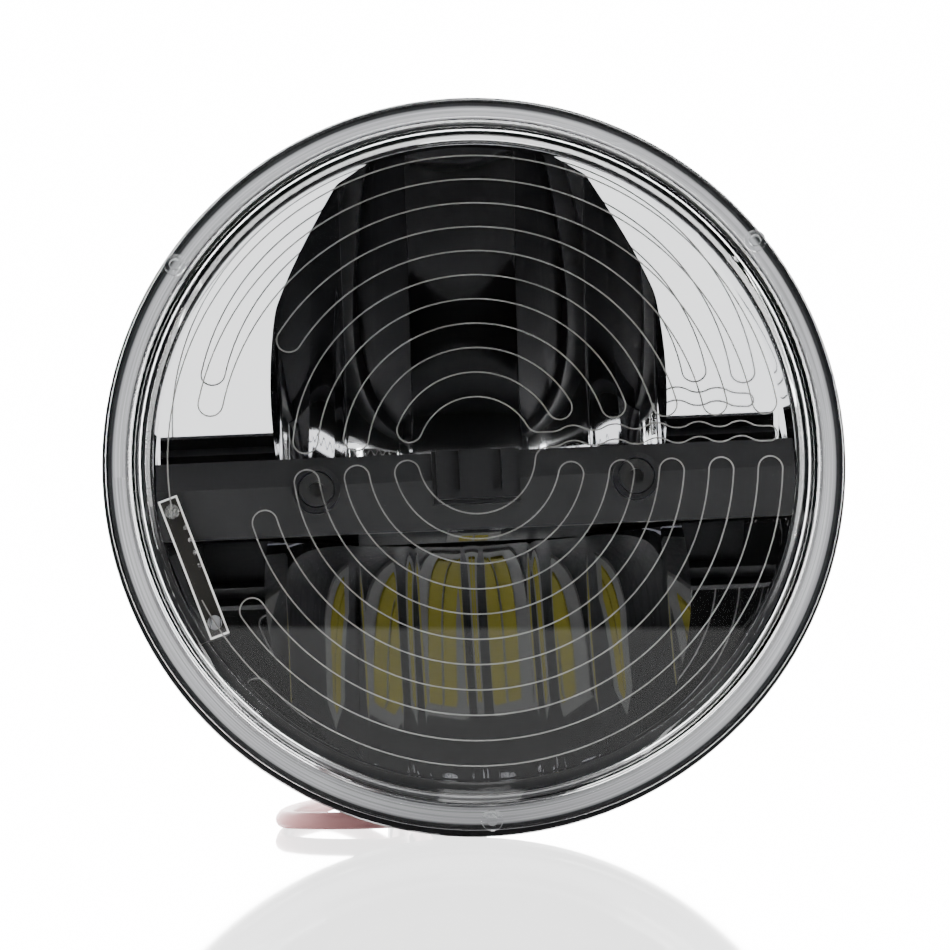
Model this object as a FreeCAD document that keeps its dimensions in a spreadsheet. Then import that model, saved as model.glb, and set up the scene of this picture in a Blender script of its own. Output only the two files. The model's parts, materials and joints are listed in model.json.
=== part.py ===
import FreeCAD, Part
import math
import os
import Sketcher
from FreeCAD import Placement, Rotation, Vector

os.makedirs("parts", exist_ok=True)

# Driving sizes in millimetres and degrees, the lamp axis is Y and the lens faces minus Y
SIZES = {
    "flange_radius": 89.0,
    "flange_thick": 6.0,
    "flange_width": 6.0,
    "body_straight": 18.0,
    "body_wall": 3.0,
    "rear_radius": 60.0,
    "rear_depth": 62.0,
    "rear_wall": 4.0,
    "fin_pitch": 9.0,
    "fin_thick": 2.6,
    "fin_height": 10.0,
    "fin_rear_radius": 50.0,
    "fin_mid_rise": 5.0,
    "fin_front_set": 4.0,
    "fin_front": 22.0,
    "fin_clear": 12.5,
    "gasket_thick": 0.8,
    "gasket_inset": 0.8,
    "gasket_width": 6.4,
    "lens_inset": 1.0,
    "lens_flange_thick": 4.2,
    "lens_rim_width": 5.4,
    "lens_groove_width": 0.8,
    "lens_groove_depth": 1.0,
    "lens_shoulder_set": 0.6,
    "lens_shoulder_rise": 2.5,
    "lens_bevel_width": 4.0,
    "lens_face_rise": 5.3,
    "lens_dome": 400.0,
    "lens_wall": 3.0,
    "lens_skirt_wall": 3.1,
    "lens_skirt_taper": 0.3,
    "lens_corner_rise": 0.4,
    "lens_face_inset": 1.5,
    "pad_radius": 2.6,
    "pad_height": 0.9,
    "stud_radius": 1.4,
    "stud_height": 0.8,
    "pad_inset": 2.3,
    "pad_angle": 54.2,
    "wire_width": 0.32,
    "wire_thick": 0.25,
    "wire_gap": 0.03,
    "wire_face_radius": 78.0,
    "wire_pitch": 5.9,
    "wire_inner_radius": 19.8,
    "wire_upper_end": 10.6,
    "wire_lower_end": -5.4,
    "wire_turn_radius": 3.0,
    "wire_wave_radius": 5.0,
    "wire_wave_angle": 30.0,
    "wire_run_top": 4.8,
    "wire_run_low": 1.2,
    "wire_run_lead": 3.0,
    "wire_run_tail": 2.0,
    "bezel_clear": 1.1,
    "bezel_width": 1.5,
    "bezel_thick": 1.8,
    "bar_top": 2.5,
    "bar_bottom": -16.0,
    "bar_ridge": -4.5,
    "bar_nose": 3.4,
    "bar_back": 4.2,
    "bar_end_clear": 1.4,
    "bar_screw_x": 38.0,
    "bar_screw_z": -5.5,
    "bar_boss_radius": 5.6,
    "bar_boss_rise": 4.4,
    "bar_bore_radius": 4.4,
    "bar_screw_head": 4.1,
    "bar_screw_shank": 1.8,
    "bar_screw_rise": 2.6,
    "bar_screw_reach": 10.0,
    "clip_half": 9.4,
    "clip_bottom": -9.2,
    "clip_thick": 1.4,
    "clip_slot": 2.2,
    "reflector_clear": 1.3,
    "reflector_wall": 2.2,
    "bowl_radius": 78.7,
    "bowl_depth": 58.0,
    "reflector_skirt": 1.5,
    "skirt_depth": 16.0,
    "wing_depth": 17.0,
    "wing_slope": 0.28,
    "upper_deck": 0.0,
    "upper_vertex": 44.2,
    "upper_focus_wide": 20.0,
    "upper_focus_high": 34.0,
    "upper_flute_one": 13.3,
    "upper_flute_two": 30.0,
    "upper_flute_three": 46.0,
    "upper_bulge": 0.5,
    "lower_deck": -14.0,
    "lower_vertex": 46.0,
    "lower_focus_wide": 23.0,
    "lower_focus_high": 24.0,
    "lower_straight_from": 40.0,
    "lower_rib": 2.9,
    "lower_flute_one": 13.9,
    "lower_flute_two": 18.9,
    "lower_flute_three": 28.0,
    "lower_flute_four": 46.0,
    "lower_rib_bulge": 0.6,
    "lower_slim_bulge": 0.5,
    "lower_wide_bulge": 1.2,
    "shelf_top": -2.2,
    "shelf_thick": 9.6,
    "shelf_front": -1.6,
    "shelf_half": 66.0,
    "shelf_shoulder": 15.0,
    "shelf_waist": 34.0,
    "shelf_waist_set": 8.0,
    "shelf_stand": 4.0,
    "shelf_foot_thick": 4.0,
    "shelf_foot_half": 30.0,
    "shelf_foot_rise": 12.0,
    "shelf_screw_x": 24.0,
    "shelf_screw_rise": 7.0,
    "boss_radius": 4.0,
    "screw_shank": 1.5,
    "screw_head": 2.8,
    "screw_head_high": 2.0,
    "thermal_pad": 0.3,
    "led_board_thick": 1.6,
    "led_board_half": 28.0,
    "led_board_front": 1.0,
    "led_board_long": 40.0,
    "led_base_high": 0.4,
    "led_chip_high": 0.3,
    "upper_led_depth": 14.0,
    "upper_led_wide": 5.0,
    "upper_led_long": 3.0,
    "lower_led_depth": 28.5,
    "lower_led_wide": 3.2,
    "lower_led_long": 9.0,
    "lower_led_gap": 0.6,
    "led_margin": 1.4,
    "lower_led_margin": 3.0,
    "led_screw_x": 5.0,
    "led_screw_depth": 5.0,
    "led_screw_head": 2.0,
    "led_screw_high": 1.1,
    "led_screw_long": 5.0,
    "driver_half": 27.0,
    "driver_top": -25.5,
    "driver_high": 24.0,
    "driver_thick": 1.6,
    "driver_stand": 4.4,
    "driver_screw_inset": 4.0,
    "coil_radius": 5.0,
    "coil_high": 3.6,
    "can_radius": 3.2,
    "can_high": 3.4,
    "chip_side": 7.0,
    "chip_high": 1.6,
    "heater_inset": 5.9,
    "heater_angle": 198.6,
    "heater_long": 35.0,
    "heater_wide": 4.8,
    "heater_thick": 1.2,
    "heater_end": 3.4,
    "heater_rib": 22.0,
    "heater_rib_wide": 6.9,
    "heater_screw_head": 1.7,
    "heater_screw_high": 0.9,
    "pin_first": 8.0,
    "pin_step": 3.2,
    "contact_radius": 0.9,
    "heater_shank": 2.4,
    "pin_radius": 0.45,
    "pin_rise": 1.2,
    "pin_inset": 0.9,
    "grommet_z": -34.0,
    "grommet_radius": 8.0,
    "grommet_neck": 4.6,
    "grommet_flange": 3.6,
    "grommet_nose": 8.0,
    "grommet_nose_radius": 4.0,
    "vent_z": 34.0,
    "vent_radius": 6.5,
    "vent_high": 3.4,
    "vent_stem": 3.0,
    "cable_diameter": 4.2,
    "plug_half_wide": 13.0,
    "plug_half_high": 10.5,
    "plug_long": 26.0,
    "plug_collar": 6.0,
    "plug_collar_radius": 5.0,
    "blade_wide": 8.0,
    "blade_thick": 0.9,
    "blade_long": 9.0,
    "fit_gap": 0.1,
}

doc = FreeCAD.newDocument("headlamp")
sheet = doc.addObject("Spreadsheet::Sheet", "Sizes")
for row, (alias, number) in enumerate(SIZES.items(), start=1):
    sheet.set("A%d" % row, alias)
    sheet.set("B%d" % row, str(number))
    sheet.setAlias("B%d" % row, alias)
doc.recompute()


class Dim:
    """A size that carries its number and the expression that gives it."""

    def __init__(self, value, text):
        self.value = float(value)
        self.text = text

    def __add__(self, other):
        other = dim(other)
        return Dim(self.value + other.value, "(%s + %s)" % (self.text, other.text))

    def __radd__(self, other):
        return dim(other) + self

    def __sub__(self, other):
        other = dim(other)
        return Dim(self.value - other.value, "(%s - %s)" % (self.text, other.text))

    def __rsub__(self, other):
        return dim(other) - self

    def __mul__(self, other):
        other = dim(other)
        return Dim(self.value * other.value, "(%s * %s)" % (self.text, other.text))

    def __rmul__(self, other):
        return dim(other) * self

    def __truediv__(self, other):
        other = dim(other)
        return Dim(self.value / other.value, "(%s / %s)" % (self.text, other.text))

    def __neg__(self):
        return Dim(-self.value, "(0 - %s)" % self.text)


def dim(number):
    """A plain number as a size."""
    if isinstance(number, Dim):
        return number
    return Dim(number, repr(float(number)))


def root(size):
    return Dim(math.sqrt(size.value), "sqrt(%s)" % size.text)


def sine(size):
    return Dim(math.sin(math.radians(size.value)), "sin(%s)" % size.text)


def cosine(size):
    return Dim(math.cos(math.radians(size.value)), "cos(%s)" % size.text)


def cell(alias):
    return Dim(float(sheet.get(alias)), "Sizes.%s" % alias)


def bind(made, prop, size):
    made.setExpression(prop, dim(size).text)


def place(made, x, y, z, rotation=None):
    """Bind the place of a piece to sizes, after its turn is set."""
    if rotation is not None:
        made.Placement = Placement(Vector(0, 0, 0), rotation)
    for letter, size in zip("xyz", (x, y, z)):
        bind(made, "Placement.Base.%s" % letter, size)


TO_BACK = Rotation(Vector(1, 0, 0), -90)
TO_FRONT = Rotation(Vector(1, 0, 0), 90)


def box(name, x, y, z, wide, deep, high):
    made = doc.addObject("Part::Box", name)
    bind(made, "Length", wide)
    bind(made, "Width", deep)
    bind(made, "Height", high)
    place(made, dim(x), dim(y), dim(z))
    return made


def rod(name, radius, length, x, y, z, rotation=None):
    made = doc.addObject("Part::Cylinder", name)
    bind(made, "Radius", radius)
    bind(made, "Height", length)
    place(made, dim(x), dim(y), dim(z), rotation)
    return made


def fuse(name, pieces):
    made = doc.addObject("Part::MultiFuse", name)
    made.Shapes = pieces
    return made


def cut(name, base, tool):
    made = doc.addObject("Part::Cut", name)
    made.Base = base
    made.Tool = tool
    return made


def common(name, pieces):
    made = doc.addObject("Part::MultiCommon", name)
    made.Shapes = pieces
    return made


def new_body(name):
    return doc.addObject("PartDesign::Body", name)


def sketch_on(body, name, role, offset=None):
    made = body.newObject("Sketcher::SketchObject", name)
    plane = [item for item in body.Origin.OriginFeatures if item.Role == role][0]
    made.AttachmentSupport = [(plane, "")]
    made.MapMode = "FlatFace"
    if offset is not None:
        bind(made, "AttachmentOffset.Base.z", offset)
    return made


def arc_between(start, end, radius, left):
    """The shorter arc between two points, its middle to the left or right of the way."""
    middle = (start + end) * 0.5
    chord = end - start
    half = chord.Length / 2
    side = Vector(-chord.y, chord.x, 0)
    side.normalize()
    if not left:
        side = side * -1.0
    centre = middle - side * math.sqrt(radius * radius - half * half)
    first, last = (end, start) if left else (start, end)
    begin = math.atan2(first.y - centre.y, first.x - centre.x)
    finish = math.atan2(last.y - centre.y, last.x - centre.x)
    if finish < begin:
        finish = finish + 2 * math.pi
    whole = Part.Circle(centre, Vector(0, 0, 1), radius)
    return Part.ArcOfCircle(whole, begin, finish)


def set_point(sketch, side, end, point):
    """Hold one end of a side at sizes measured from the sketch origin."""
    names = (("DistanceX", -2), ("DistanceY", -1))
    for (kind, axis), size in zip(names, point):
        size = dim(size)
        if abs(size.value) < 1e-9:
            sketch.addConstraint(Sketcher.Constraint("PointOnObject", side, end, axis))
            continue
        index = sketch.addConstraint(Sketcher.Constraint(kind, -1, 1, side, end, size.value))
        sketch.setExpression("Constraints[%d]" % index, size.text)


def outline(sketch, points, arcs=None):
    """Draw a closed outline through the points, arcs gives each round side's radius and side."""
    arcs = arcs or {}
    first = sketch.GeometryCount
    count = len(points)
    heads = []
    tails = []
    for index in range(count):
        start = Vector(dim(points[index][0]).value, dim(points[index][1]).value, 0)
        after = points[(index + 1) % count]
        end = Vector(dim(after[0]).value, dim(after[1]).value, 0)
        if index in arcs:
            radius, left = arcs[index]
            sketch.addGeometry(arc_between(start, end, radius.value, left))
            forward = not left
        else:
            sketch.addGeometry(Part.LineSegment(start, end))
            forward = True
        heads.append(1 if forward else 2)
        tails.append(2 if forward else 1)
    for index in range(count):
        after = (index + 1) % count
        sketch.addConstraint(
            Sketcher.Constraint("Coincident", first + index, tails[index], first + after, heads[after])
        )
    for index in range(count):
        set_point(sketch, first + index, heads[index], points[index])
        if index in arcs:
            radius = arcs[index][0]
            row = sketch.addConstraint(Sketcher.Constraint("Radius", first + index, radius.value))
            sketch.setExpression("Constraints[%d]" % row, radius.text)


def circle(sketch, x, y, radius):
    index = sketch.addGeometry(
        Part.Circle(Vector(dim(x).value, dim(y).value, 0), Vector(0, 0, 1), dim(radius).value)
    )
    set_point(sketch, index, 3, (x, y))
    row = sketch.addConstraint(Sketcher.Constraint("Radius", index, dim(radius).value))
    sketch.setExpression("Constraints[%d]" % row, dim(radius).text)


def revolved(name, points, arcs=None):
    """A body turned about the lamp axis from an outline in radius and depth."""
    body = new_body(name)
    sketch = sketch_on(body, name + "_outline", "XY_Plane")
    outline(sketch, points, arcs)
    turn = body.newObject("PartDesign::Revolution", name + "_turn")
    turn.Profile = (sketch, [""])
    turn.ReferenceAxis = (sketch, ["V_Axis"])
    turn.Angle = 360.0
    sketch.Visibility = False
    return body


def pad(body, sketch, name, length, reverse=False):
    made = body.newObject("PartDesign::Pad", name)
    made.Profile = (sketch, [""])
    bind(made, "Length", length)
    made.Reversed = reverse
    sketch.Visibility = False
    return made


# Radii worked inwards from the flange, so that pieces that fit together stay together
flange_radius = cell("flange_radius")
body_radius = flange_radius - cell("flange_width")
cavity_radius = body_radius - cell("body_wall")
fin_mid_radius = cell("rear_radius") + cell("fin_mid_rise")
fin_front_radius = body_radius - cell("fin_front_set")
lens_radius = flange_radius - cell("lens_inset")
lens_step_radius = lens_radius - cell("lens_rim_width")
lens_shoulder_radius = lens_step_radius - cell("lens_shoulder_set")
face_radius = lens_shoulder_radius - cell("lens_bevel_width")
lens_skirt_inner = lens_step_radius - cell("lens_skirt_wall")
lens_corner_radius = lens_skirt_inner - cell("lens_skirt_taper")
inner_face = face_radius - cell("lens_face_inset")
pad_circle = lens_radius - cell("pad_inset")
gasket_outer = lens_radius - cell("gasket_inset")
gasket_inner = gasket_outer - cell("gasket_width")
bezel_radius = cavity_radius - cell("bezel_clear")
bezel_inner = bezel_radius - cell("bezel_width")
bar_half = bezel_inner - cell("bar_end_clear")
reflector_radius = cavity_radius - cell("reflector_clear")
heater_radius = bezel_inner - cell("heater_inset")
bowl_spread = reflector_radius / cell("bowl_radius")

# Named faces that several pieces share
seat = cell("flange_thick")
flange_front = -seat
gasket_front = flange_front - cell("gasket_thick")
lens_front = gasket_front - cell("lens_flange_thick")
inner_rear = cell("rear_depth") - cell("rear_wall")
bowl_stretch = inner_rear / cell("bowl_depth")
gap = cell("fit_gap")

# Lens, one clear moulding with a domed face, a stepped shoulder and a flange
face_y = lens_front - cell("lens_face_rise")
dome = cell("lens_dome")
dome_centre = face_y + root(dome * dome - face_radius * face_radius)
apex = dome_centre - dome
inner_dome = dome - cell("lens_wall")
inner_face_y = dome_centre - root(inner_dome * inner_dome - inner_face * inner_face)
groove_edge = lens_step_radius + cell("lens_groove_width")
groove_floor = lens_front + cell("lens_groove_depth")
lens = revolved(
    "lens",
    [
        (0, apex),
        (face_radius, face_y),
        (lens_shoulder_radius, lens_front - cell("lens_shoulder_rise")),
        (lens_step_radius, groove_floor),
        (groove_edge, groove_floor),
        (groove_edge, lens_front),
        (lens_radius, lens_front),
        (lens_radius, gasket_front),
        (lens_skirt_inner, gasket_front),
        (lens_corner_radius, lens_front - cell("lens_corner_rise")),
        (inner_face, inner_face_y),
        (0, dome_centre - inner_dome),
    ],
    {0: (dome, False), 10: (inner_dome, True)},
)
pads = sketch_on(lens, "lens_pads", "XZ_Plane", -lens_front)
studs = sketch_on(lens, "lens_studs", "XZ_Plane", cell("pad_height") - lens_front)
for angle in (90 - cell("pad_angle"), 90 + cell("pad_angle"), dim(270)):
    pad_x = pad_circle * cosine(angle)
    pad_z = pad_circle * sine(angle)
    circle(pads, pad_x, pad_z, cell("pad_radius"))
    circle(studs, pad_x, pad_z, cell("stud_radius"))
pad(lens, pads, "lens_pad", cell("pad_height"))
pad(lens, studs, "lens_stud", cell("stud_height"))

# Gasket between the lens flange and the housing flange
gasket = cut(
    "lens_gasket",
    rod("gasket_disc", gasket_outer, cell("gasket_thick"), 0, gasket_front, 0, TO_BACK),
    rod(
        "gasket_hole",
        gasket_inner,
        cell("gasket_thick") * 3,
        0,
        gasket_front - cell("gasket_thick"),
        0,
        TO_BACK,
    ),
)

# Housing, a finned casting with a flange, turned core first
core = revolved(
    "housing_core",
    [
        (0, cell("rear_depth")),
        (cell("rear_radius"), cell("rear_depth")),
        (body_radius, cell("body_straight")),
        (body_radius, 0),
        (flange_radius, 0),
        (flange_radius, flange_front),
        (0, flange_front),
    ],
)
hollow = revolved(
    "housing_hollow",
    [
        (0, inner_rear),
        (cell("rear_radius") - cell("rear_wall"), inner_rear),
        (cavity_radius, cell("body_straight")),
        (cavity_radius, flange_front - 1),
        (0, flange_front - 1),
    ],
)
fin_end = cell("rear_depth") + cell("fin_height")
envelope = revolved(
    "fin_envelope",
    [
        (0, fin_end),
        (cell("fin_rear_radius"), fin_end),
        (fin_mid_radius, cell("rear_depth") - 2),
        (fin_front_radius, cell("fin_front")),
        (0, cell("fin_front")),
    ],
)
slabs = []
for step in range(-6, 7):
    slabs.append(
        box(
            "fin_slab_%d" % (step + 6),
            cell("fin_pitch") * step - cell("fin_thick") / 2,
            cell("fin_front"),
            -flange_radius,
            cell("fin_thick"),
            fin_end - cell("fin_front"),
            flange_radius * 2,
        )
    )
fins = common("fins", [fuse("fin_slabs", slabs), envelope])
clear_zones = fuse(
    "fin_clear_zones",
    [
        rod(
            "cable_zone",
            cell("fin_clear"),
            cell("fin_height") * 2,
            0,
            cell("rear_depth"),
            cell("grommet_z"),
            TO_BACK,
        ),
        rod(
            "vent_zone",
            cell("fin_clear"),
            cell("fin_height") * 2,
            0,
            cell("rear_depth"),
            cell("vent_z"),
            TO_BACK,
        ),
    ],
)
open_fins = cut("open_fins", fins, clear_zones)
shell = cut("housing_shell", fuse("housing_solid", [core, open_fins]), hollow)

# Bosses in the housing for the shelf and the driver board
bosses = []
boss_bores = []
shelf_screw_places = []
shelf_middle = cell("shelf_top") - cell("shelf_thick") / 2
for side in (-1, 1):
    for rise in (-1, 1):
        x = cell("shelf_screw_x") * side
        z = shelf_middle + (cell("shelf_thick") / 2 + cell("shelf_screw_rise")) * rise
        shelf_screw_places.append((x, z))
driver_screw_places = []
for side in (-1, 1):
    x = (cell("driver_half") - cell("driver_screw_inset")) * side
    for inset in (cell("driver_screw_inset"), cell("driver_high") - cell("driver_screw_inset")):
        driver_screw_places.append((x, cell("driver_top") - inset))
shelf_face = inner_rear - cell("shelf_stand")
driver_face = inner_rear - cell("driver_stand")
for number, (x, z) in enumerate(shelf_screw_places):
    bosses.append(
        rod(
            "shelf_boss_%d" % number,
            cell("boss_radius"),
            inner_rear + 0.5 - shelf_face,
            x,
            shelf_face,
            z,
            TO_BACK,
        )
    )
    boss_bores.append(
        rod(
            "shelf_bore_%d" % number,
            cell("screw_shank"),
            inner_rear - shelf_face - 0.5,
            x,
            shelf_face - 0.1,
            z,
            TO_BACK,
        )
    )
for number, (x, z) in enumerate(driver_screw_places):
    bosses.append(
        rod(
            "driver_boss_%d" % number,
            cell("boss_radius") - 1,
            inner_rear + 0.5 - driver_face,
            x,
            driver_face,
            z,
            TO_BACK,
        )
    )
    boss_bores.append(
        rod(
            "driver_bore_%d" % number,
            cell("screw_shank"),
            inner_rear - driver_face - 0.5,
            x,
            driver_face - 0.1,
            z,
            TO_BACK,
        )
    )
boss_bores.append(
    rod(
        "cable_hole",
        cell("grommet_neck"),
        cell("rear_wall") * 4,
        0,
        inner_rear - cell("rear_wall"),
        cell("grommet_z"),
        TO_BACK,
    )
)
boss_bores.append(
    rod(
        "vent_hole",
        cell("vent_stem"),
        cell("rear_wall") * 4,
        0,
        inner_rear - cell("rear_wall"),
        cell("vent_z"),
        TO_BACK,
    )
)
housing = cut("housing", fuse("housing_bossed", [shell] + bosses), fuse("housing_bores", boss_bores))


# Reflectors, a fluted bowl joined to two plane wings, each a thin shell
class Bowl:
    """The form of one fluted bowl.

    edges are the flute edges from the middle outwards, bulges the rise of each flute from the
    middle outwards with None for a plane one. Upright the bowl is a parabola, which runs on
    straight beyond the height straight_from where that is given. The sizes are those of a lamp
    of the bowl radius and depth, and follow the lamp when it gets larger or smaller.
    """

    def __init__(self, edges, bulges, vertex, wide_focus, high_focus, deck, up, straight_from=None):
        flatter = bowl_spread * bowl_spread / bowl_stretch
        self.edges = [edge * bowl_spread for edge in edges]
        self.bulges = bulges
        self.vertex = vertex * bowl_stretch
        self.wide_focus = wide_focus * flatter
        self.high_focus = high_focus * flatter
        self.deck = deck
        self.up = up
        self.reach = reflector_radius.value + 4 - deck.value * up
        self.turn = (straight_from * bowl_spread).value if straight_from else self.reach

    def spine(self, body, name):
        """The upright line that the plan of the bowl runs along, and its edges."""
        sketch = sketch_on(body, name, "YZ_Plane")
        deck = self.deck.value
        focus = self.high_focus.value
        start = Vector(0, deck, 0)
        control = Vector(0, deck + self.up * self.turn / 2, 0)
        bend = Vector(-self.turn * self.turn / (4 * focus), deck + self.up * self.turn, 0)
        curve = Part.BezierCurve()
        curve.setPoles([start, control, bend])
        pieces = [curve.toBSpline()]
        rest = self.reach - self.turn
        if rest > 0:
            end = bend + Vector(-rest * self.turn / (2 * focus), self.up * rest, 0)
            pieces.append(Part.LineSegment(bend, end))
        for piece in pieces:
            index = sketch.addGeometry(piece)
            sketch.addConstraint(Sketcher.Constraint("Block", index))
        return sketch, ["Edge%d" % (number + 1) for number in range(len(pieces))]

    def solid(self, name, bulges, shift):
        """A solid that fills the front of the bowl, moved back by shift."""
        body = new_body(name)
        plan = sketch_on(body, name + "_plan", "XY_Plane", self.deck)
        limit = cavity_radius + 6
        knots = [-limit] + [-edge for edge in reversed(self.edges)] + self.edges + [limit]
        points = []
        for knot in knots:
            points.append((knot, self.vertex - knot * knot / (4 * self.wide_focus) + shift))
        arcs = {}
        middle = len(self.edges)
        for index in range(1, len(knots) - 2):
            bulge = bulges[abs(index - middle)] if bulges else None
            if bulge is not None:
                wide = knots[index + 1] - knots[index]
                drop = points[index + 1][1] - points[index][1]
                chord = wide * wide + drop * drop
                arcs[index] = (chord / (8 * bulge) + bulge / 2, False)
        far = dim(-120)
        points = points + [(limit, far), (-limit, far)]
        outline(plan, points, arcs)
        spine, spine_edges = self.spine(body, name + "_spine")
        doc.recompute()
        pipe = body.newObject("PartDesign::AdditivePipe", name + "_sweep")
        pipe.Profile = (plan, [""])
        pipe.Spine = (spine, spine_edges)
        pipe.Mode = "Fixed"
        plan.Visibility = False
        spine.Visibility = False
        return body


def wing(name, deck, up, shift):
    """A solid that fills the front of the two plane wings, moved back by shift."""
    body = new_body(name)
    side = sketch_on(body, name + "_side", "YZ_Plane", -flange_radius)
    top = deck + flange_radius * up
    depth = cell("wing_depth") * bowl_stretch + shift
    slope = cell("wing_slope") * bowl_stretch / bowl_spread
    points = [
        (dim(-120), deck),
        (depth, deck),
        (depth - slope * flange_radius, top),
        (dim(-120), top),
    ]
    outline(side, points)
    pad(body, side, name + "_pad", flange_radius * 2)
    return body


def half_drum(name, radius, front, back, deck, up):
    """A half disc on one side of the deck."""
    drum = rod(name + "_drum", radius, back - front, 0, front, 0, TO_BACK)
    base = deck if up > 0 else deck - radius * 2
    room = box(
        name + "_room", -radius * 1.1, front - 1, base, radius * 2.2, back - front + 2, radius * 2
    )
    return common(name, [drum, room])


def reflector(name, form):
    """A thin mirror shell of the bowl and its wings, with a skirt that fits the housing."""
    none = dim(0)
    wall = cell("reflector_wall")
    deck = form.deck
    up = form.up
    outer_bowl = form.solid(name + "_outer_bowl", None, wall)
    inner_bowl = form.solid(name + "_inner_bowl", form.bulges, none)
    outer = fuse(name + "_outer", [outer_bowl, wing(name + "_outer_wing", deck, up, wall)])
    inner = fuse(name + "_inner", [inner_bowl, wing(name + "_inner_wing", deck, up, none)])
    sheet_shell = cut(name + "_sheet", outer, inner)
    front = flange_front
    room = half_drum(name + "_space", reflector_radius, front, cell("rear_depth"), deck, up)
    trimmed = common(name + "_trimmed", [sheet_shell, room])
    ring = half_drum(name + "_ring", reflector_radius, front, cell("skirt_depth"), deck, up)
    ring_hole = rod(
        name + "_ring_hole",
        reflector_radius - cell("reflector_skirt"),
        cell("skirt_depth") - front + 2,
        0,
        front - 1,
        0,
        TO_BACK,
    )
    skirt = cut(name + "_skirt", ring, ring_hole)
    return fuse(name, [trimmed, skirt])


upper_bowl = Bowl(
    [cell("upper_flute_one"), cell("upper_flute_two"), cell("upper_flute_three")],
    [cell("upper_bulge")] * 3,
    cell("upper_vertex"),
    cell("upper_focus_wide"),
    cell("upper_focus_high"),
    cell("upper_deck"),
    1,
)
lower_bowl = Bowl(
    [
        cell("lower_rib"),
        cell("lower_flute_one"),
        cell("lower_flute_two"),
        cell("lower_flute_three"),
        cell("lower_flute_four"),
    ],
    [cell("lower_rib_bulge"), None, cell("lower_slim_bulge"), None, cell("lower_wide_bulge")],
    cell("lower_vertex"),
    cell("lower_focus_wide"),
    cell("lower_focus_high"),
    cell("lower_deck"),
    -1,
    cell("lower_straight_from"),
)
upper_reflector = reflector("upper_reflector", upper_bowl)
lower_reflector = reflector("lower_reflector", lower_bowl)

# Bezel, a thin ring with the centre bar across it
bezel_front = flange_front - cell("bezel_thick")
bar_front = bezel_front - cell("bar_nose")
ring = revolved(
    "bezel_ring",
    [
        (bezel_inner, bezel_front),
        (bezel_radius, bezel_front),
        (bezel_radius, flange_front),
        (bezel_inner, flange_front),
    ],
)
bar = new_body("centre_bar_body")
bar_side = sketch_on(bar, "centre_bar_side", "YZ_Plane", -bar_half)
bar_back = flange_front + cell("bar_back")
clear_deck = cell("thermal_pad")
outline(
    bar_side,
    [
        (flange_front, cell("bar_top")),
        (bezel_front, cell("bar_top")),
        (bar_front, cell("bar_ridge")),
        (bezel_front, cell("bar_bottom")),
        (flange_front, cell("bar_bottom")),
        (flange_front, cell("lower_deck") + clear_deck),
        (bar_back, cell("lower_deck") + clear_deck),
        (bar_back, cell("upper_deck") - clear_deck),
        (flange_front, cell("upper_deck") - clear_deck),
    ],
)
pad(bar, bar_side, "centre_bar_pad", bar_half * 2)
boss_front = bezel_front - cell("bar_boss_rise")
head_seat = boss_front + cell("bar_screw_rise") + gap
bar_adds = [ring, bar]
bar_cuts = []
bar_screws = []
shelf_cuts = []
for side in (-1, 1):
    x = cell("bar_screw_x") * side
    z = cell("bar_screw_z")
    mark = "left" if side < 0 else "right"
    bar_adds.append(
        rod(
            "bar_boss_" + mark,
            cell("bar_boss_radius"),
            flange_front - boss_front,
            x,
            boss_front,
            z,
            TO_BACK,
        )
    )
    bar_cuts.append(
        rod(
            "bar_bore_" + mark,
            cell("bar_bore_radius"),
            head_seat - boss_front + 5,
            x,
            boss_front - 5,
            z,
            TO_BACK,
        )
    )
    bar_cuts.append(
        rod(
            "bar_hole_" + mark,
            cell("bar_screw_shank") + gap,
            (bar_back - boss_front) * 2,
            x,
            boss_front,
            z,
            TO_BACK,
        )
    )
    head = rod(
        "bar_head_" + mark,
        cell("bar_screw_head"),
        cell("bar_screw_rise"),
        x,
        boss_front + gap,
        z,
        TO_BACK,
    )
    socket = rod(
        "bar_socket_" + mark,
        cell("bar_screw_shank"),
        cell("bar_screw_rise"),
        x,
        boss_front - 1,
        z,
        TO_BACK,
    )
    shank_long = cell("shelf_front") + cell("bar_screw_reach") - head_seat
    shank = rod(
        "bar_shank_" + mark, cell("bar_screw_shank"), shank_long, x, head_seat - 0.2, z, TO_BACK
    )
    bar_screws.append(fuse("bar_screw_" + mark, [cut("bar_cap_" + mark, head, socket), shank]))
    shelf_cuts.append(
        rod(
            "shelf_front_bore_" + mark,
            cell("bar_screw_shank") + gap,
            cell("bar_screw_reach") * 1.4,
            x,
            cell("shelf_front") - 1,
            z,
            TO_BACK,
        )
    )
clip_pad = box(
    "clip_pad",
    -cell("clip_half") - 1,
    bar_front,
    cell("clip_bottom") - 1,
    cell("clip_half") * 2 + 2,
    flange_front - bar_front,
    cell("bar_top") - cell("clip_bottom") + 1,
)
bar_adds.append(clip_pad)

# Heater board at the left of the lens, on a rib of the bezel
board_angle = cell("heater_angle")
out_x = cosine(board_angle)
out_z = sine(board_angle)
along_x = -out_z
along_z = out_x
board_back = bar_front - gap
board_front = board_back - cell("heater_thick")


def turned_box(name, start, outer, wide, long, front, thick):
    """A box that lies along the rim, start from the upper end of the heater board."""
    made = doc.addObject("Part::Box", name)
    bind(made, "Length", long)
    bind(made, "Width", thick)
    bind(made, "Height", wide)
    made.Placement = Placement(Vector(0, 0, 0), Rotation(Vector(0, 1, 0), (270 - board_angle).value))
    bind(made, "Placement.Rotation.Angle", 270 - board_angle)
    shift = start - cell("heater_long") / 2
    for letter, size in (
        ("x", out_x * outer + along_x * shift),
        ("y", dim(front)),
        ("z", out_z * outer + along_z * shift),
    ):
        bind(made, "Placement.Base.%s" % letter, size)
    return made


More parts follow.
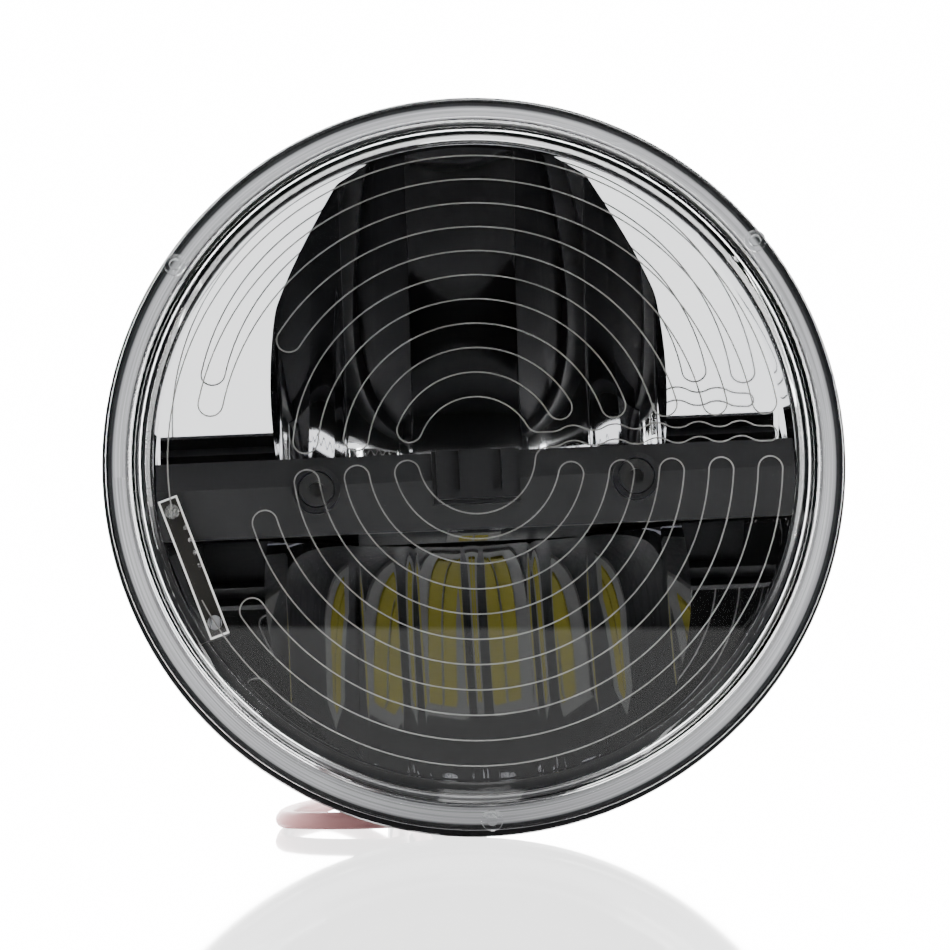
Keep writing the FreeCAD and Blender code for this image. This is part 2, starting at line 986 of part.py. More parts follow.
def on_board(start, radius):
    """The place of a point along the heater board, from its upper end."""
    shift = start - cell("heater_long") / 2
    return out_x * radius + along_x * shift, out_z * radius + along_z * shift


board_outer = heater_radius + cell("heater_wide") / 2
heater_plate = turned_box(
    "heater_plate",
    dim(0),
    board_outer,
    cell("heater_wide"),
    cell("heater_long"),
    board_front,
    cell("heater_thick"),
)
rib_outer = heater_radius - cell("heater_wide") / 2 + cell("heater_rib_wide")
bar_adds.append(
    turned_box(
        "heater_rib",
        cell("heater_long") - cell("heater_rib"),
        rib_outer,
        cell("heater_rib_wide"),
        cell("heater_rib"),
        board_back,
        flange_front - board_back,
    )
)
screw_x, screw_z = on_board(cell("heater_long") - cell("heater_end"), heater_radius)
heater_bore_long = cell("heater_thick") + cell("heater_shank") + 0.7
heater_bore = rod(
    "heater_bore",
    cell("contact_radius") + gap,
    heater_bore_long,
    screw_x,
    board_front,
    screw_z,
    TO_BACK,
)
bar_cuts.append(heater_bore)
heater_hole_long = cell("heater_thick") * 3
heater_hole_front = board_front - cell("heater_thick")
heater_hole = rod(
    "heater_hole",
    cell("contact_radius") + gap,
    heater_hole_long,
    screw_x,
    heater_hole_front,
    screw_z,
    TO_BACK,
)
heater_board = cut("heater_board", heater_plate, heater_hole)
head_front = board_front - cell("heater_screw_high")
heater_shank_long = cell("heater_thick") + cell("heater_shank")
heater_screw = fuse(
    "heater_board_screw",
    [
        rod(
            "heater_screw_head",
            cell("heater_screw_head"),
            cell("heater_screw_high"),
            screw_x,
            head_front,
            screw_z,
            TO_BACK,
        ),
        rod(
            "heater_screw_shank",
            cell("contact_radius"),
            heater_shank_long,
            screw_x,
            board_front,
            screw_z,
            TO_BACK,
        ),
    ],
)
bead_x, bead_z = on_board(cell("heater_end"), heater_radius)
heater_bead = rod(
    "heater_contact",
    cell("heater_screw_head"),
    cell("heater_screw_high"),
    bead_x,
    head_front,
    bead_z,
    TO_BACK,
)
pins = []
pin_circle = heater_radius - cell("heater_wide") / 2 + cell("pin_inset")
for number in range(4):
    pin_x, pin_z = on_board(cell("pin_first") + cell("pin_step") * number, pin_circle)
    pin_front = board_front - cell("pin_rise")
    pins.append(
        rod(
            "heater_pin_%d" % number,
            cell("pin_radius"),
            cell("pin_rise"),
            pin_x,
            pin_front,
            pin_z,
            TO_BACK,
        )
    )
heater_pins = fuse("heater_pins", pins)
bezel = cut("bezel", fuse("bezel_solid", bar_adds), fuse("bezel_cuts", bar_cuts))

# Clip in the middle of the bar
clip_plate = box(
    "clip_plate",
    -cell("clip_half"),
    bar_front - cell("clip_thick"),
    cell("clip_bottom"),
    cell("clip_half") * 2,
    cell("clip_thick"),
    cell("bar_top") - cell("clip_bottom"),
)
clip_slots = []
for side in (-1, 1):
    clip_slots.append(
        box(
            "clip_slot_left" if side < 0 else "clip_slot_right",
            (cell("clip_half") - cell("clip_slot") * 2) * side - cell("clip_slot") / 2,
            bar_front - cell("clip_thick") - 1,
            cell("clip_bottom") + 2,
            cell("clip_slot"),
            cell("clip_thick") + 2,
            cell("bar_top") - cell("clip_bottom"),
        )
    )
centre_clip = cut("centre_clip", clip_plate, fuse("clip_slots", clip_slots))

# Shelf that carries both LED boards and takes their heat to the housing
shelf_bottom = cell("shelf_top") - cell("shelf_thick")
shelf_plate = new_body("shelf_plate")
shelf_plan = sketch_on(shelf_plate, "shelf_plan", "XY_Plane", shelf_bottom)
foot_front = shelf_face - cell("shelf_foot_thick")
waist_depth = foot_front - cell("shelf_waist_set")
outline(
    shelf_plan,
    [
        (-cell("shelf_half"), cell("shelf_front")),
        (cell("shelf_half"), cell("shelf_front")),
        (cell("shelf_half"), cell("shelf_shoulder")),
        (cell("shelf_waist"), waist_depth),
        (cell("shelf_foot_half"), foot_front + 1),
        (-cell("shelf_foot_half"), foot_front + 1),
        (-cell("shelf_waist"), waist_depth),
        (-cell("shelf_half"), cell("shelf_shoulder")),
    ],
)
pad(shelf_plate, shelf_plan, "shelf_pad", cell("shelf_thick"))
shelf_foot = box(
    "shelf_foot",
    -cell("shelf_foot_half"),
    foot_front,
    shelf_bottom - cell("shelf_foot_rise"),
    cell("shelf_foot_half") * 2,
    cell("shelf_foot_thick"),
    cell("shelf_thick") + cell("shelf_foot_rise") * 2,
)
shelf_screws = []
for number, (x, z) in enumerate(shelf_screw_places):
    shelf_cuts.append(
        rod(
            "foot_hole_%d" % number,
            cell("screw_shank") + gap,
            cell("shelf_foot_thick") + 2,
            x,
            foot_front - 1,
            z,
            TO_BACK,
        )
    )
    head = rod(
        "shelf_head_%d" % number,
        cell("screw_head"),
        cell("screw_head_high"),
        x,
        foot_front - cell("screw_head_high"),
        z,
        TO_BACK,
    )
    shank_long = inner_rear - 0.8 - foot_front
    shank = rod(
        "shelf_shank_%d" % number,
        cell("screw_shank") - gap,
        shank_long,
        x,
        foot_front - 0.2,
        z,
        TO_BACK,
    )
    shelf_screws.append(fuse("shelf_screw_%d" % number, [head, shank]))

# LED boards above and below the shelf, each on a thermal pad
board_top = cell("shelf_top") + cell("thermal_pad") + cell("led_board_thick")
board_under = shelf_bottom - cell("thermal_pad") - cell("led_board_thick")


def led_plate(name, z, thick):
    return box(
        name,
        -cell("led_board_half"),
        cell("led_board_front"),
        z,
        cell("led_board_half") * 2,
        cell("led_board_long"),
        thick,
    )


board_holes = []
led_screws = []
for side in (-1, 1):
    x = cell("led_screw_x") * side
    mark = "left" if side < 0 else "right"
    y = cell("led_screw_depth")
    board_holes.append(
        rod(
            "led_hole_" + mark,
            cell("screw_shank") + gap,
            cell("shelf_thick") + 12,
            x,
            y,
            board_under - 2,
        )
    )
    top_head = rod(
        "led_head_top_" + mark, cell("led_screw_head"), cell("led_screw_high"), x, y, board_top
    )
    top_shank = rod(
        "led_shank_top_" + mark,
        cell("screw_shank"),
        cell("led_screw_long") + 0.2,
        x,
        y,
        board_top - cell("led_screw_long"),
    )
    low_head = rod(
        "led_head_low_" + mark,
        cell("led_screw_head"),
        cell("led_screw_high"),
        x,
        y,
        board_under - cell("led_screw_high"),
    )
    low_shank = rod(
        "led_shank_low_" + mark,
        cell("screw_shank"),
        cell("led_screw_long") + 0.2,
        x,
        y,
        board_under - 0.2,
    )
    led_screws.append(fuse("led_screw_top_" + mark, [top_head, top_shank]))
    led_screws.append(fuse("led_screw_low_" + mark, [low_head, low_shank]))
led_holes = fuse("led_holes", board_holes)
led_shelf = cut(
    "led_shelf",
    fuse("shelf_solid", [shelf_plate, shelf_foot]),
    fuse("shelf_cuts", shelf_cuts + board_holes),
)
upper_pad = cut(
    "upper_thermal_pad", led_plate("upper_pad_plate", cell("shelf_top"), cell("thermal_pad")), led_holes
)
lower_pad = cut(
    "lower_thermal_pad",
    led_plate("lower_pad_plate", shelf_bottom - cell("thermal_pad"), cell("thermal_pad")),
    led_holes,
)
upper_board = cut(
    "upper_led_board",
    led_plate("upper_plate", board_top - cell("led_board_thick"), cell("led_board_thick")),
    led_holes,
)
lower_board = cut(
    "lower_led_board", led_plate("lower_plate", board_under, cell("led_board_thick")), led_holes
)

# LEDs, a pale base with a phosphor face
margin = cell("led_margin")
lower_margin = cell("lower_led_margin")
upper_led_base = box(
    "upper_led_base",
    -cell("upper_led_wide") / 2 - margin,
    cell("upper_led_depth") - cell("upper_led_long") / 2 - margin,
    board_top,
    cell("upper_led_wide") + margin * 2,
    cell("upper_led_long") + margin * 2,
    cell("led_base_high"),
)
upper_led_chip = box(
    "upper_led_chip",
    -cell("upper_led_wide") / 2,
    cell("upper_led_depth") - cell("upper_led_long") / 2,
    board_top + cell("led_base_high"),
    cell("upper_led_wide"),
    cell("upper_led_long"),
    cell("led_chip_high"),
)
pair_half = cell("lower_led_wide") + cell("lower_led_gap") / 2
lower_led_base = box(
    "lower_led_base",
    -pair_half - lower_margin,
    cell("lower_led_depth") - cell("lower_led_long") / 2 - lower_margin,
    board_under - cell("led_base_high"),
    pair_half * 2 + lower_margin * 2,
    cell("lower_led_long") + lower_margin * 2,
    cell("led_base_high"),
)
chips = []
for side in (-1, 1):
    left = cell("lower_led_gap") / 2 if side > 0 else -pair_half
    chips.append(
        box(
            "lower_chip_left" if side < 0 else "lower_chip_right",
            left,
            cell("lower_led_depth") - cell("lower_led_long") / 2,
            board_under - cell("led_base_high") - cell("led_chip_high"),
            cell("lower_led_wide"),
            cell("lower_led_long"),
            cell("led_chip_high"),
        )
    )
lower_led_chips = fuse("lower_led_chips", chips)

# Driver board behind the lower reflector
driver_front = driver_face - cell("driver_thick")
driver_plate = box(
    "driver_plate",
    -cell("driver_half"),
    driver_front,
    cell("driver_top") - cell("driver_high"),
    cell("driver_half") * 2,
    cell("driver_thick"),
    cell("driver_high"),
)
driver_holes = []
driver_screws = []
for number, (x, z) in enumerate(driver_screw_places):
    driver_holes.append(
        rod(
            "driver_hole_%d" % number,
            cell("screw_shank") + gap,
            cell("driver_thick") + 2,
            x,
            driver_front - 1,
            z,
            TO_BACK,
        )
    )
    head = rod(
        "driver_head_%d" % number,
        cell("led_screw_head"),
        cell("led_screw_high"),
        x,
        driver_front - cell("led_screw_high"),
        z,
        TO_BACK,
    )
    shank_long = inner_rear - 0.8 - driver_front
    shank = rod(
        "driver_shank_%d" % number,
        cell("screw_shank") - gap,
        shank_long,
        x,
        driver_front - 0.2,
        z,
        TO_BACK,
    )
    driver_screws.append(fuse("driver_screw_%d" % number, [head, shank]))
driver_board = cut("driver_board", driver_plate, fuse("driver_holes", driver_holes))
driver_middle = cell("driver_top") - cell("driver_high") / 2
driver_coil = rod(
    "driver_coil",
    cell("coil_radius"),
    cell("coil_high"),
    -cell("driver_half") / 2.5,
    driver_front - cell("coil_high"),
    driver_middle,
    TO_BACK,
)
cans = []
for number in range(2):
    cans.append(
        rod(
            "driver_can_%d" % number,
            cell("can_radius"),
            cell("can_high"),
            cell("driver_half") / 2 + cell("can_radius") * (2.4 * number - 1.2),
            driver_front - cell("can_high"),
            driver_middle - cell("can_radius"),
            TO_BACK,
        )
    )
driver_cans = fuse("driver_capacitors", cans)
driver_chip = box(
    "driver_chip",
    cell("driver_half") / 2 - cell("chip_side"),
    driver_front - cell("chip_high"),
    driver_middle + cell("can_radius"),
    cell("chip_side"),
    cell("chip_high"),
    cell("chip_side") * 0.7,
)

# Breather vent and cable grommet on the rear
vent = fuse(
    "breather_vent",
    [
        rod(
            "vent_cap",
            cell("vent_radius"),
            cell("vent_high"),
            0,
            cell("rear_depth"),
            cell("vent_z"),
            TO_BACK,
        ),
        rod(
            "vent_stalk",
            cell("vent_stem") - gap,
            cell("rear_wall") + 0.2,
            0,
            inner_rear,
            cell("vent_z"),
            TO_BACK,
        ),
    ],
)
grommet_end = cell("rear_depth") + cell("grommet_flange") + cell("grommet_nose")
grommet = fuse(
    "cable_grommet",
    [
        rod(
            "grommet_neck_rod",
            cell("grommet_neck") - gap,
            cell("rear_wall") + 0.2,
            0,
            inner_rear,
            cell("grommet_z"),
            TO_BACK,
        ),
        rod(
            "grommet_flange_rod",
            cell("grommet_radius"),
            cell("grommet_flange"),
            0,
            cell("rear_depth"),
            cell("grommet_z"),
            TO_BACK,
        ),
        rod(
            "grommet_nose_rod",
            cell("grommet_nose_radius"),
            cell("grommet_nose") + 0.2,
            0,
            grommet_end - cell("grommet_nose") - 0.2,
            cell("grommet_z"),
            TO_BACK,
        ),
    ],
)

# Cable, straight runs with tangent arcs through chosen points
ROUTE = [
    Vector(0, grommet_end.value, cell("grommet_z").value),
    Vector(0, 106, -34),
    Vector(-14, 110, -71.5),
    Vector(-20.5, 58, -78.6),
    Vector(-21, 9, -83.6),
    Vector(-49.5, 9, -82.6),
    Vector(-48.5, 50, -78.5),
    Vector(-36, 95, -73.5),
    Vector(-8, 118, -56),
    Vector(-8, 142, -56),
]


def rounded_route(points):
    """Edges of a path with an arc at each inner point, and the radii."""
    edges = []
    radii = []
    here = points[0]
    for index in range(1, len(points) - 1):
        before = points[index - 1] - points[index]
        after = points[index + 1] - points[index]
        run = min(before.Length, after.Length)
        turn = math.pi - before.getAngle(after)
        reach = 0.45 * run
        radius = reach / math.tan(turn / 2)
        into = Vector(before)
        into.normalize()
        onward = Vector(after)
        onward.normalize()
        start = points[index] + into * reach
        end = points[index] + onward * reach
        bisector = into + onward
        bisector.normalize()
        centre_gap = radius / math.cos(turn / 2)
        middle = points[index] + bisector * (centre_gap - radius)
        edges.append(Part.makeLine(here, start))
        edges.append(Part.Arc(start, middle, end).toShape())
        radii.append(round(radius, 1))
        here = end
    edges.append(Part.makeLine(here, points[-1]))
    return edges, radii


route_edges, route_radii = rounded_route(ROUTE)
print("cable bend radii", route_radii)
print("cable length", round(sum(edge.Length for edge in route_edges), 1))
section = Part.Wire(Part.makeCircle(SIZES["cable_diameter"] / 2, ROUTE[0], ROUTE[1] - ROUTE[0]))
cable = doc.addObject("Part::Feature", "pigtail_cable")
cable.Shape = Part.Wire(route_edges).makePipeShell([section], True, True)

# Plug at the end of the cable
plug_x = dim(ROUTE[-1].x)
plug_y = dim(ROUTE[-1].y)
plug_z = dim(ROUTE[-1].z)
plug_front = plug_y + cell("plug_collar")
plug_end = plug_front + cell("plug_long")
plug_block = box(
    "plug_block",
    plug_x - cell("plug_half_wide"),
    plug_front,
    plug_z - cell("plug_half_high"),
    cell("plug_half_wide") * 2,
    cell("plug_long"),
    cell("plug_half_high") * 2,
)
plug_body = fuse(
    "plug_body",
    [
        plug_block,
        rod(
            "plug_neck",
            cell("plug_collar_radius"),
            cell("plug_collar") + 0.2,
            plug_x,
            plug_y,
            plug_z,
            TO_BACK,
        ),
    ],
)
blades = [
    box(
        "blade_top",
        plug_x - cell("blade_wide") / 2,
        plug_end,
        plug_z + cell("plug_half_high") * 0.55,
        cell("blade_wide"),
        cell("blade_long"),
        cell("blade_thick"),
    )
]
for side in (-1, 1):
    blades.append(
        box(
            "blade_left" if side < 0 else "blade_right",
            plug_x + cell("plug_half_wide") * 0.55 * side - cell("blade_thick") / 2,
            plug_end,
            plug_z - cell("blade_wide") * 0.7,
            cell("blade_thick"),
            cell("blade_long"),
            cell("blade_wide"),
        )
    )
plug_blades = fuse("plug_blades", blades)


# Heater wire, one ribbon on the inside of the lens, laid out as tangent arcs and lines
class Trail:
    """A path in the plane of X and Z that keeps both edges of a ribbon."""

    def __init__(self, x, z, heading, half):
        self.at = Vector(x, 0, z)
        self.heading = heading
        self.half = half
        self.left = []
        self.right = []

    def ahead(self, angle=0.0):
        return Vector(math.cos(self.heading + angle), 0, math.sin(self.heading + angle))

    def line(self, length):
        along = self.ahead()
        side = self.ahead(math.pi / 2) * self.half
        end = self.at + along * length
        self.left.append((self.at + side, None, end + side))
        self.right.append((self.at - side, None, end - side))
        self.at = end

    def arc(self, radius, degrees, left):
        sign = 1.0 if left else -1.0
        centre = self.at + self.ahead(sign * math.pi / 2) * radius
        turn = math.radians(degrees)
        first = self.heading - sign * math.pi / 2
        for store, offset in ((self.left, 1.0), (self.right, -1.0)):
            reach = radius - sign * offset * self.half
            points = []
            for share in (0.0, 0.5, 1.0):
                angle = first + sign * turn * share
                points.append(centre + Vector(math.cos(angle), 0, math.sin(angle)) * reach)
            store.append(tuple(points))
        last = first + sign * turn
        self.at = centre + Vector(math.cos(last), 0, math.sin(last)) * radius
        self.heading = self.heading + sign * turn

    def face(self, y):
        """The flat ribbon as a face at the depth y."""
        edges = []
        for start, middle, end in self.left:
            edges.append(ribbon_edge(start, middle, end, y))
        edges.append(ribbon_edge(self.left[-1][2], None, self.right[-1][2], y))
        for start, middle, end in reversed(self.right):
            edges.append(ribbon_edge(end, middle, start, y))
        edges.append(ribbon_edge(self.right[0][0], None, self.left[0][0], y))
        return Part.Face(Part.Wire(edges))


def ribbon_edge(start, middle, end, y):
    lift = Vector(0, y, 0)
    if middle is None:
        return Part.makeLine(start + lift, end + lift)
    return Part.Arc(start + lift, middle + lift, end + lift).toShape()


def drawn(name):
    """A size of the wire, which follows the face of the lens when that gets larger or smaller."""
    return SIZES[name] * face_radius.value / SIZES["wire_face_radius"]


pitch = drawn("wire_pitch")
radii = [drawn("wire_inner_radius") + pitch * step for step in range(10)]
UPPER_LEFT = {8: 166.0, 6: 145.3, 4: 172.5, 2: 169.4}
LOWER_LEFT = {2: 188.2, 4: 186.4, 6: 195.0, 8: 212.0}
UPPER_INNER_END = 157.0
LOWER_INNER_END = 192.0
START_ANGLE = 187.0
END_ANGLE = 205.0


def right_end(pair, height):
    """The angle at which a pair of rings turns back on the right."""
    return math.degrees(math.asin(height / (radii[pair] - pitch / 2)))


def waves(trail, count, left):
    for number in range(count):
        for bend in (left, not left, not left, left):
            trail.arc(drawn("wire_wave_radius"), SIZES["wire_wave_angle"], bend)


first_angle = math.radians(START_ANGLE)
trail = Trail(
    radii[9] * math.cos(first_angle),
    radii[9] * math.sin(first_angle),
    first_angle - math.pi / 2,
    SIZES["wire_width"] / 2,
)
angle = START_ANGLE
for pair in (9, 7, 5, 3, 1):
    stop = right_end(pair, drawn("wire_upper_end"))
    trail.arc(radii[pair], angle - stop, False)
    trail.arc(pitch / 2, 180, False)
    angle = UPPER_LEFT.get(pair - 1, UPPER_INNER_END)
    trail.arc(radii[pair - 1], angle - stop, True)
    trail.arc(pitch / 2, 180, True)
small = radii[0] - pitch
turn_radius = drawn("wire_turn_radius")
run_top = drawn("wire_run_top")
run_low = drawn("wire_run_low")
top_angle = math.degrees(math.asin((run_top + turn_radius) / (small + turn_radius)))
low_angle = math.degrees(math.asin((run_low - turn_radius) / (small + turn_radius)))
trail.arc(small, UPPER_INNER_END - top_angle, False)
trail.arc(turn_radius, 90 - top_angle, True)
trail.line(drawn("wire_run_lead"))
waves(trail, 5, True)
trail.line(drawn("wire_run_tail"))
trail.arc((run_top - run_low) / 2, 180, False)
trail.line(drawn("wire_run_tail"))
waves(trail, 5, False)
run_stop = small * math.cos(math.radians(low_angle)) + turn_radius * math.sin(
    math.radians(90 + low_angle)
)
trail.line(trail.at.x - run_stop)
trail.arc(turn_radius, 90 + low_angle, True)
trail.arc(small, low_angle + 360 - LOWER_INNER_END, False)
trail.arc(pitch / 2, 180, True)
angle = LOWER_INNER_END
for pair in (1, 3, 5, 7, 9):
    stop = 360 + right_end(pair, drawn("wire_lower_end"))
    trail.arc(radii[pair - 1], stop - angle, True)
    trail.arc(pitch / 2, 180, False)
    angle = LOWER_LEFT.get(pair + 1, END_ANGLE)
    trail.arc(radii[pair], stop - angle, False)
    if pair < 9:
        trail.arc(pitch / 2, 180, True)
ribbon = trail.face(apex.value).extrude(Vector(0, -apex.value, 0))
ball_centre = Vector(0, dome_centre.value, 0)
outer_ball = Part.makeSphere(inner_dome.value - SIZES["wire_gap"], ball_centre)
inner_ball = Part.makeSphere(inner_dome.value - SIZES["wire_gap"] - SIZES["wire_thick"], ball_centre)
heater_wire = doc.addObject("Part::Feature", "lens_heater_wire")
heater_wire.Shape = ribbon.common(outer_ball).cut(inner_ball)

# Every piece under its own label
PIECES = {
    "lens": lens,
    "lens_gasket": gasket,
    "lens_heater_wire": heater_wire,
    "heater_board": heater_board,
    "heater_board_screw": heater_screw,
    "heater_contact": heater_bead,
    "heater_pins": heater_pins,
    "housing": housing,
    "upper_reflector": upper_reflector,
    "lower_reflector": lower_reflector,
    "bezel": bezel,
    "bar_screws": fuse("bar_screw_pair", bar_screws),
    "centre_clip": centre_clip,
    "led_shelf": led_shelf,
    "shelf_screws": fuse("shelf_screw_set", shelf_screws),
    "upper_thermal_pad": upper_pad,
    "lower_thermal_pad": lower_pad,
    "upper_led_board": upper_board,
    "lower_led_board": lower_board,
    "led_board_screws": fuse("led_screw_set", led_screws),
    "upper_led_base": upper_led_base,
    "upper_led_chip": upper_led_chip,
    "lower_led_base": lower_led_base,
    "lower_led_chips": lower_led_chips,
    "driver_board": driver_board,
    "driver_board_screws": fuse("driver_screw_set", driver_screws),
    "driver_coil": driver_coil,
    "driver_capacitors": driver_cans,
    "driver_chip": driver_chip,
    "breather_vent": vent,
    "cable_grommet": grommet,
    "pigtail_cable": cable,
    "plug_body": plug_body,
    "plug_blades": plug_blades,
}
doc.recompute()
faults = []
for item in doc.Objects:
    if "Invalid" in item.State or "Error" in item.State:
        faults.append("%s is %s" % (item.Name, item.State))
    if hasattr(item, "Shape") and not item.TypeId.startswith(("Sketcher::", "App::")):
        if item.Shape.isNull() or not item.Shape.isValid():
            faults.append("%s has no valid shape" % item.Name)
for label, item in PIECES.items():
    item.Label = label
    item.Shape.exportStep("parts/%s.step" % label)
    print(label, len(item.Shape.Solids), round(item.Shape.Volume, 1))
if faults:
    raise RuntimeError("; ".join(faults))
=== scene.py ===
"""Looks of a round heated LED headlamp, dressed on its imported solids.

Every length is in metres in the frame of the solids: X to the right, Y to the rear, Z up.
The lens faces minus Y and the origin lies on the lamp axis at the rear face of the flange.
"""

import json
import logging
import math
from dataclasses import dataclass
from enum import Enum
from typing import Any

import bmesh
import bpy
import numpy as np
from mathutils import Matrix, Vector


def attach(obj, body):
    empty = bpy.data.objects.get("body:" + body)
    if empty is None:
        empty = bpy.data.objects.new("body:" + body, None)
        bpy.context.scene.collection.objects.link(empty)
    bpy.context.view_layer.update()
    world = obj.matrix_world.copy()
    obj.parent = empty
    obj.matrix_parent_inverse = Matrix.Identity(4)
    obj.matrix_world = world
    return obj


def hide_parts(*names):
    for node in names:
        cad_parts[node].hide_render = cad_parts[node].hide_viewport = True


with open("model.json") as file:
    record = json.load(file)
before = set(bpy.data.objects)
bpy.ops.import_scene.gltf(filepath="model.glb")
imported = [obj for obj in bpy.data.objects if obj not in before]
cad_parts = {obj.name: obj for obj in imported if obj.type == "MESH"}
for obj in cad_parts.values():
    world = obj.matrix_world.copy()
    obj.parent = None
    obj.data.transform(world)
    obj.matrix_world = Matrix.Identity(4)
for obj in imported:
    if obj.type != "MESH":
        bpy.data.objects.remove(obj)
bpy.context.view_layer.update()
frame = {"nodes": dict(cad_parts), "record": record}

MM = 0.001
ROOT = "root"
Colour = tuple[float, float, float]
Pair = tuple[float, float]
Socket = bpy.types.NodeSocket
Node = bpy.types.Node
FLOAT = "NodeSocketFloat"
VECTOR = "NodeSocketVector"
Surface = tuple[np.ndarray, np.ndarray]
log = logging.getLogger("headlamp")


# Shader building
class Wiring:
    """A node tree under construction."""

    def __init__(self, tree: bpy.types.NodeTree) -> None:
        """Hold the tree that nodes are added to."""
        self.tree = tree

    def add(self, kind: str, settings: dict[str, Any] | None = None, **sockets: Any) -> Node:
        """Add a node and set or link its inputs.

        Args:
            kind: The node's type name.
            settings: Properties of the node itself.
            sockets: Input values by socket name, with spaces as underscores; a socket given
                as a value is linked.

        Returns:
            The new node.
        """
        node = self.tree.nodes.new(kind)
        for name, value in (settings or {}).items():
            setattr(node, name, value)
        for name, value in sockets.items():
            self.feed(node, name.replace("_", " "), value)
        return node

    def feed(self, node: Node, name: str | int, value: Any) -> None:
        """Link or set one input of a node.

        Args:
            node: The node whose input is fed.
            name: The input's name or index.
            value: A socket to link, or a plain value.
        """
        if isinstance(value, Socket):
            self.tree.links.new(value, node.inputs[name])
        elif isinstance(value, tuple) and len(value) == 3 and node.inputs[name].type == "RGBA":
            node.inputs[name].default_value = (*value, 1.0)
        else:
            node.inputs[name].default_value = value

    def maths(self, operation: str, first: Any, second: Any = 0.0) -> Socket:
        """Combine two values.

        Args:
            operation: The Math node's operation.
            first: A socket or number.
            second: A socket or number.

        Returns:
            The result's socket.
        """
        node = self.add("ShaderNodeMath", {"operation": operation})
        self.feed(node, 0, first)
        self.feed(node, 1, second)
        return node.outputs[0]

    def span(self, value: Any, low: float, high: float, start: Any = 0.0, end: Any = 1.0) -> Socket:
        """Map a value from low..high onto start..end, clamped.

        Args:
            value: The socket to map.
            low: Value that gives start.
            high: Value that gives end.
            start: Result at low, a socket or number.
            end: Result at high, a socket or number.

        Returns:
            The mapped value's socket.
        """
        node = self.add("ShaderNodeMapRange")
        self.feed(node, "Value", value)
        for name, number in (("From Min", low), ("From Max", high), ("To Min", start), ("To Max", end)):
            self.feed(node, name, number)
        return node.outputs["Result"]

    def blend(self, factor: Any, first: Any, second: Any) -> Socket:
        """Mix two colours.

        Args:
            factor: Share of the second colour.
            first: Colour at 0.
            second: Colour at 1.

        Returns:
            The mixed colour's socket.
        """
        node = self.add("ShaderNodeMix", {"data_type": "RGBA"})
        names = [item.identifier for item in node.inputs]
        for name, value in (("Factor_Float", factor), ("A_Color", first), ("B_Color", second)):
            self.feed(node, names.index(name), value)
        return next(item for item in node.outputs if item.identifier == "Result_Color")

    def mix(self, factor: Any, first: Socket, second: Socket) -> Socket:
        """Mix two shaders.

        Args:
            factor: Share of the second shader.
            first: Shader at 0.
            second: Shader at 1.

        Returns:
            The mixed shader's socket.
        """
        node = self.add("ShaderNodeMixShader")
        for index, value in enumerate((factor, first, second)):
            self.feed(node, index, value)
        return node.outputs[0]

    def bump(self, shader: Node, height: Socket, strength: float, distance: float) -> None:
        """Raise a shader's surface by a height.

        Args:
            shader: The Principled node.
            height: The height's socket.
            strength: Share of the height that shows.
            distance: The full height in metres.
        """
        node = self.add("ShaderNodeBump", Strength=strength, Distance=distance, Height=height)
        self.feed(shader, "Normal", node.outputs[0])

    def show(self, shader: Socket) -> None:
        """Link a shader to the material's output."""
        output = next(node for node in self.tree.nodes if node.type == "OUTPUT_MATERIAL")
        self.feed(output, "Surface", shader)


def new_group(name: str, inputs: dict[str, str], outputs: dict[str, str]) -> tuple[Wiring, Any, Any]:
    """Start a shader node group with named sockets.

    Args:
        name: The group's name.
        inputs: Socket type by input name.
        outputs: Socket type by output name.

    Returns:
        The wiring, the group's input node and its output node.
    """
    tree = bpy.data.node_groups.new(name, "ShaderNodeTree")
    for direction, sockets in (("INPUT", inputs), ("OUTPUT", outputs)):
        for label, kind in sockets.items():
            tree.interface.new_socket(label, in_out=direction, socket_type=kind)
    wiring = Wiring(tree)
    return wiring, wiring.add("NodeGroupInput"), wiring.add("NodeGroupOutput")


def surface_grain_group() -> bpy.types.NodeTree:
    """Make the group for fine moulded or cast grain with a slow drift over the piece.

    Returns:
        A group with Vector and Scale in, and Height, Drift and Specks out.
    """
    wiring, given, result = new_group(
        "surface_grain",
        {"Vector": VECTOR, "Scale": FLOAT},
        {"Height": FLOAT, "Drift": FLOAT, "Specks": FLOAT},
    )
    place, scale = given.outputs["Vector"], given.outputs["Scale"]
    fine = wiring.add("ShaderNodeTexNoise", Vector=place, Scale=scale, Detail=3.0, Roughness=0.6)
    coarse = wiring.maths("MULTIPLY", scale, 0.035)
    slow = wiring.add("ShaderNodeTexNoise", Vector=place, Scale=coarse, Detail=2.0)
    dots = wiring.add("ShaderNodeTexVoronoi", Vector=place, Scale=wiring.maths("MULTIPLY", scale, 0.3))
    wiring.feed(result, "Height", fine.outputs[0])
    wiring.feed(result, "Drift", wiring.span(slow.outputs[0], 0.3, 0.7))
    wiring.feed(result, "Specks", wiring.span(dots.outputs["Distance"], 0.05, 0.13, 1.0, 0.0))
    return wiring.tree


def drawn_lines_group() -> bpy.types.NodeTree:
    """Make the group for fine lines along one direction, as turning or drawing leaves them.

    Returns:
        A group with Vector, Scale and Stretch in, and Lines out.
    """
    wiring, given, result = new_group(
        "drawn_lines",
        {"Vector": VECTOR, "Scale": FLOAT, "Stretch": VECTOR},
        {"Lines": FLOAT},
    )
    pulled = wiring.add("ShaderNodeVectorMath", {"operation": "MULTIPLY"})
    wiring.feed(pulled, 0, given.outputs["Vector"])
    wiring.feed(pulled, 1, given.outputs["Stretch"])
    scale = given.outputs["Scale"]
    noise = wiring.add("ShaderNodeTexNoise", Vector=pulled.outputs[0], Scale=scale, Detail=4.0)
    wiring.feed(result, "Lines", wiring.span(noise.outputs[0], 0.35, 0.65))
    return wiring.tree


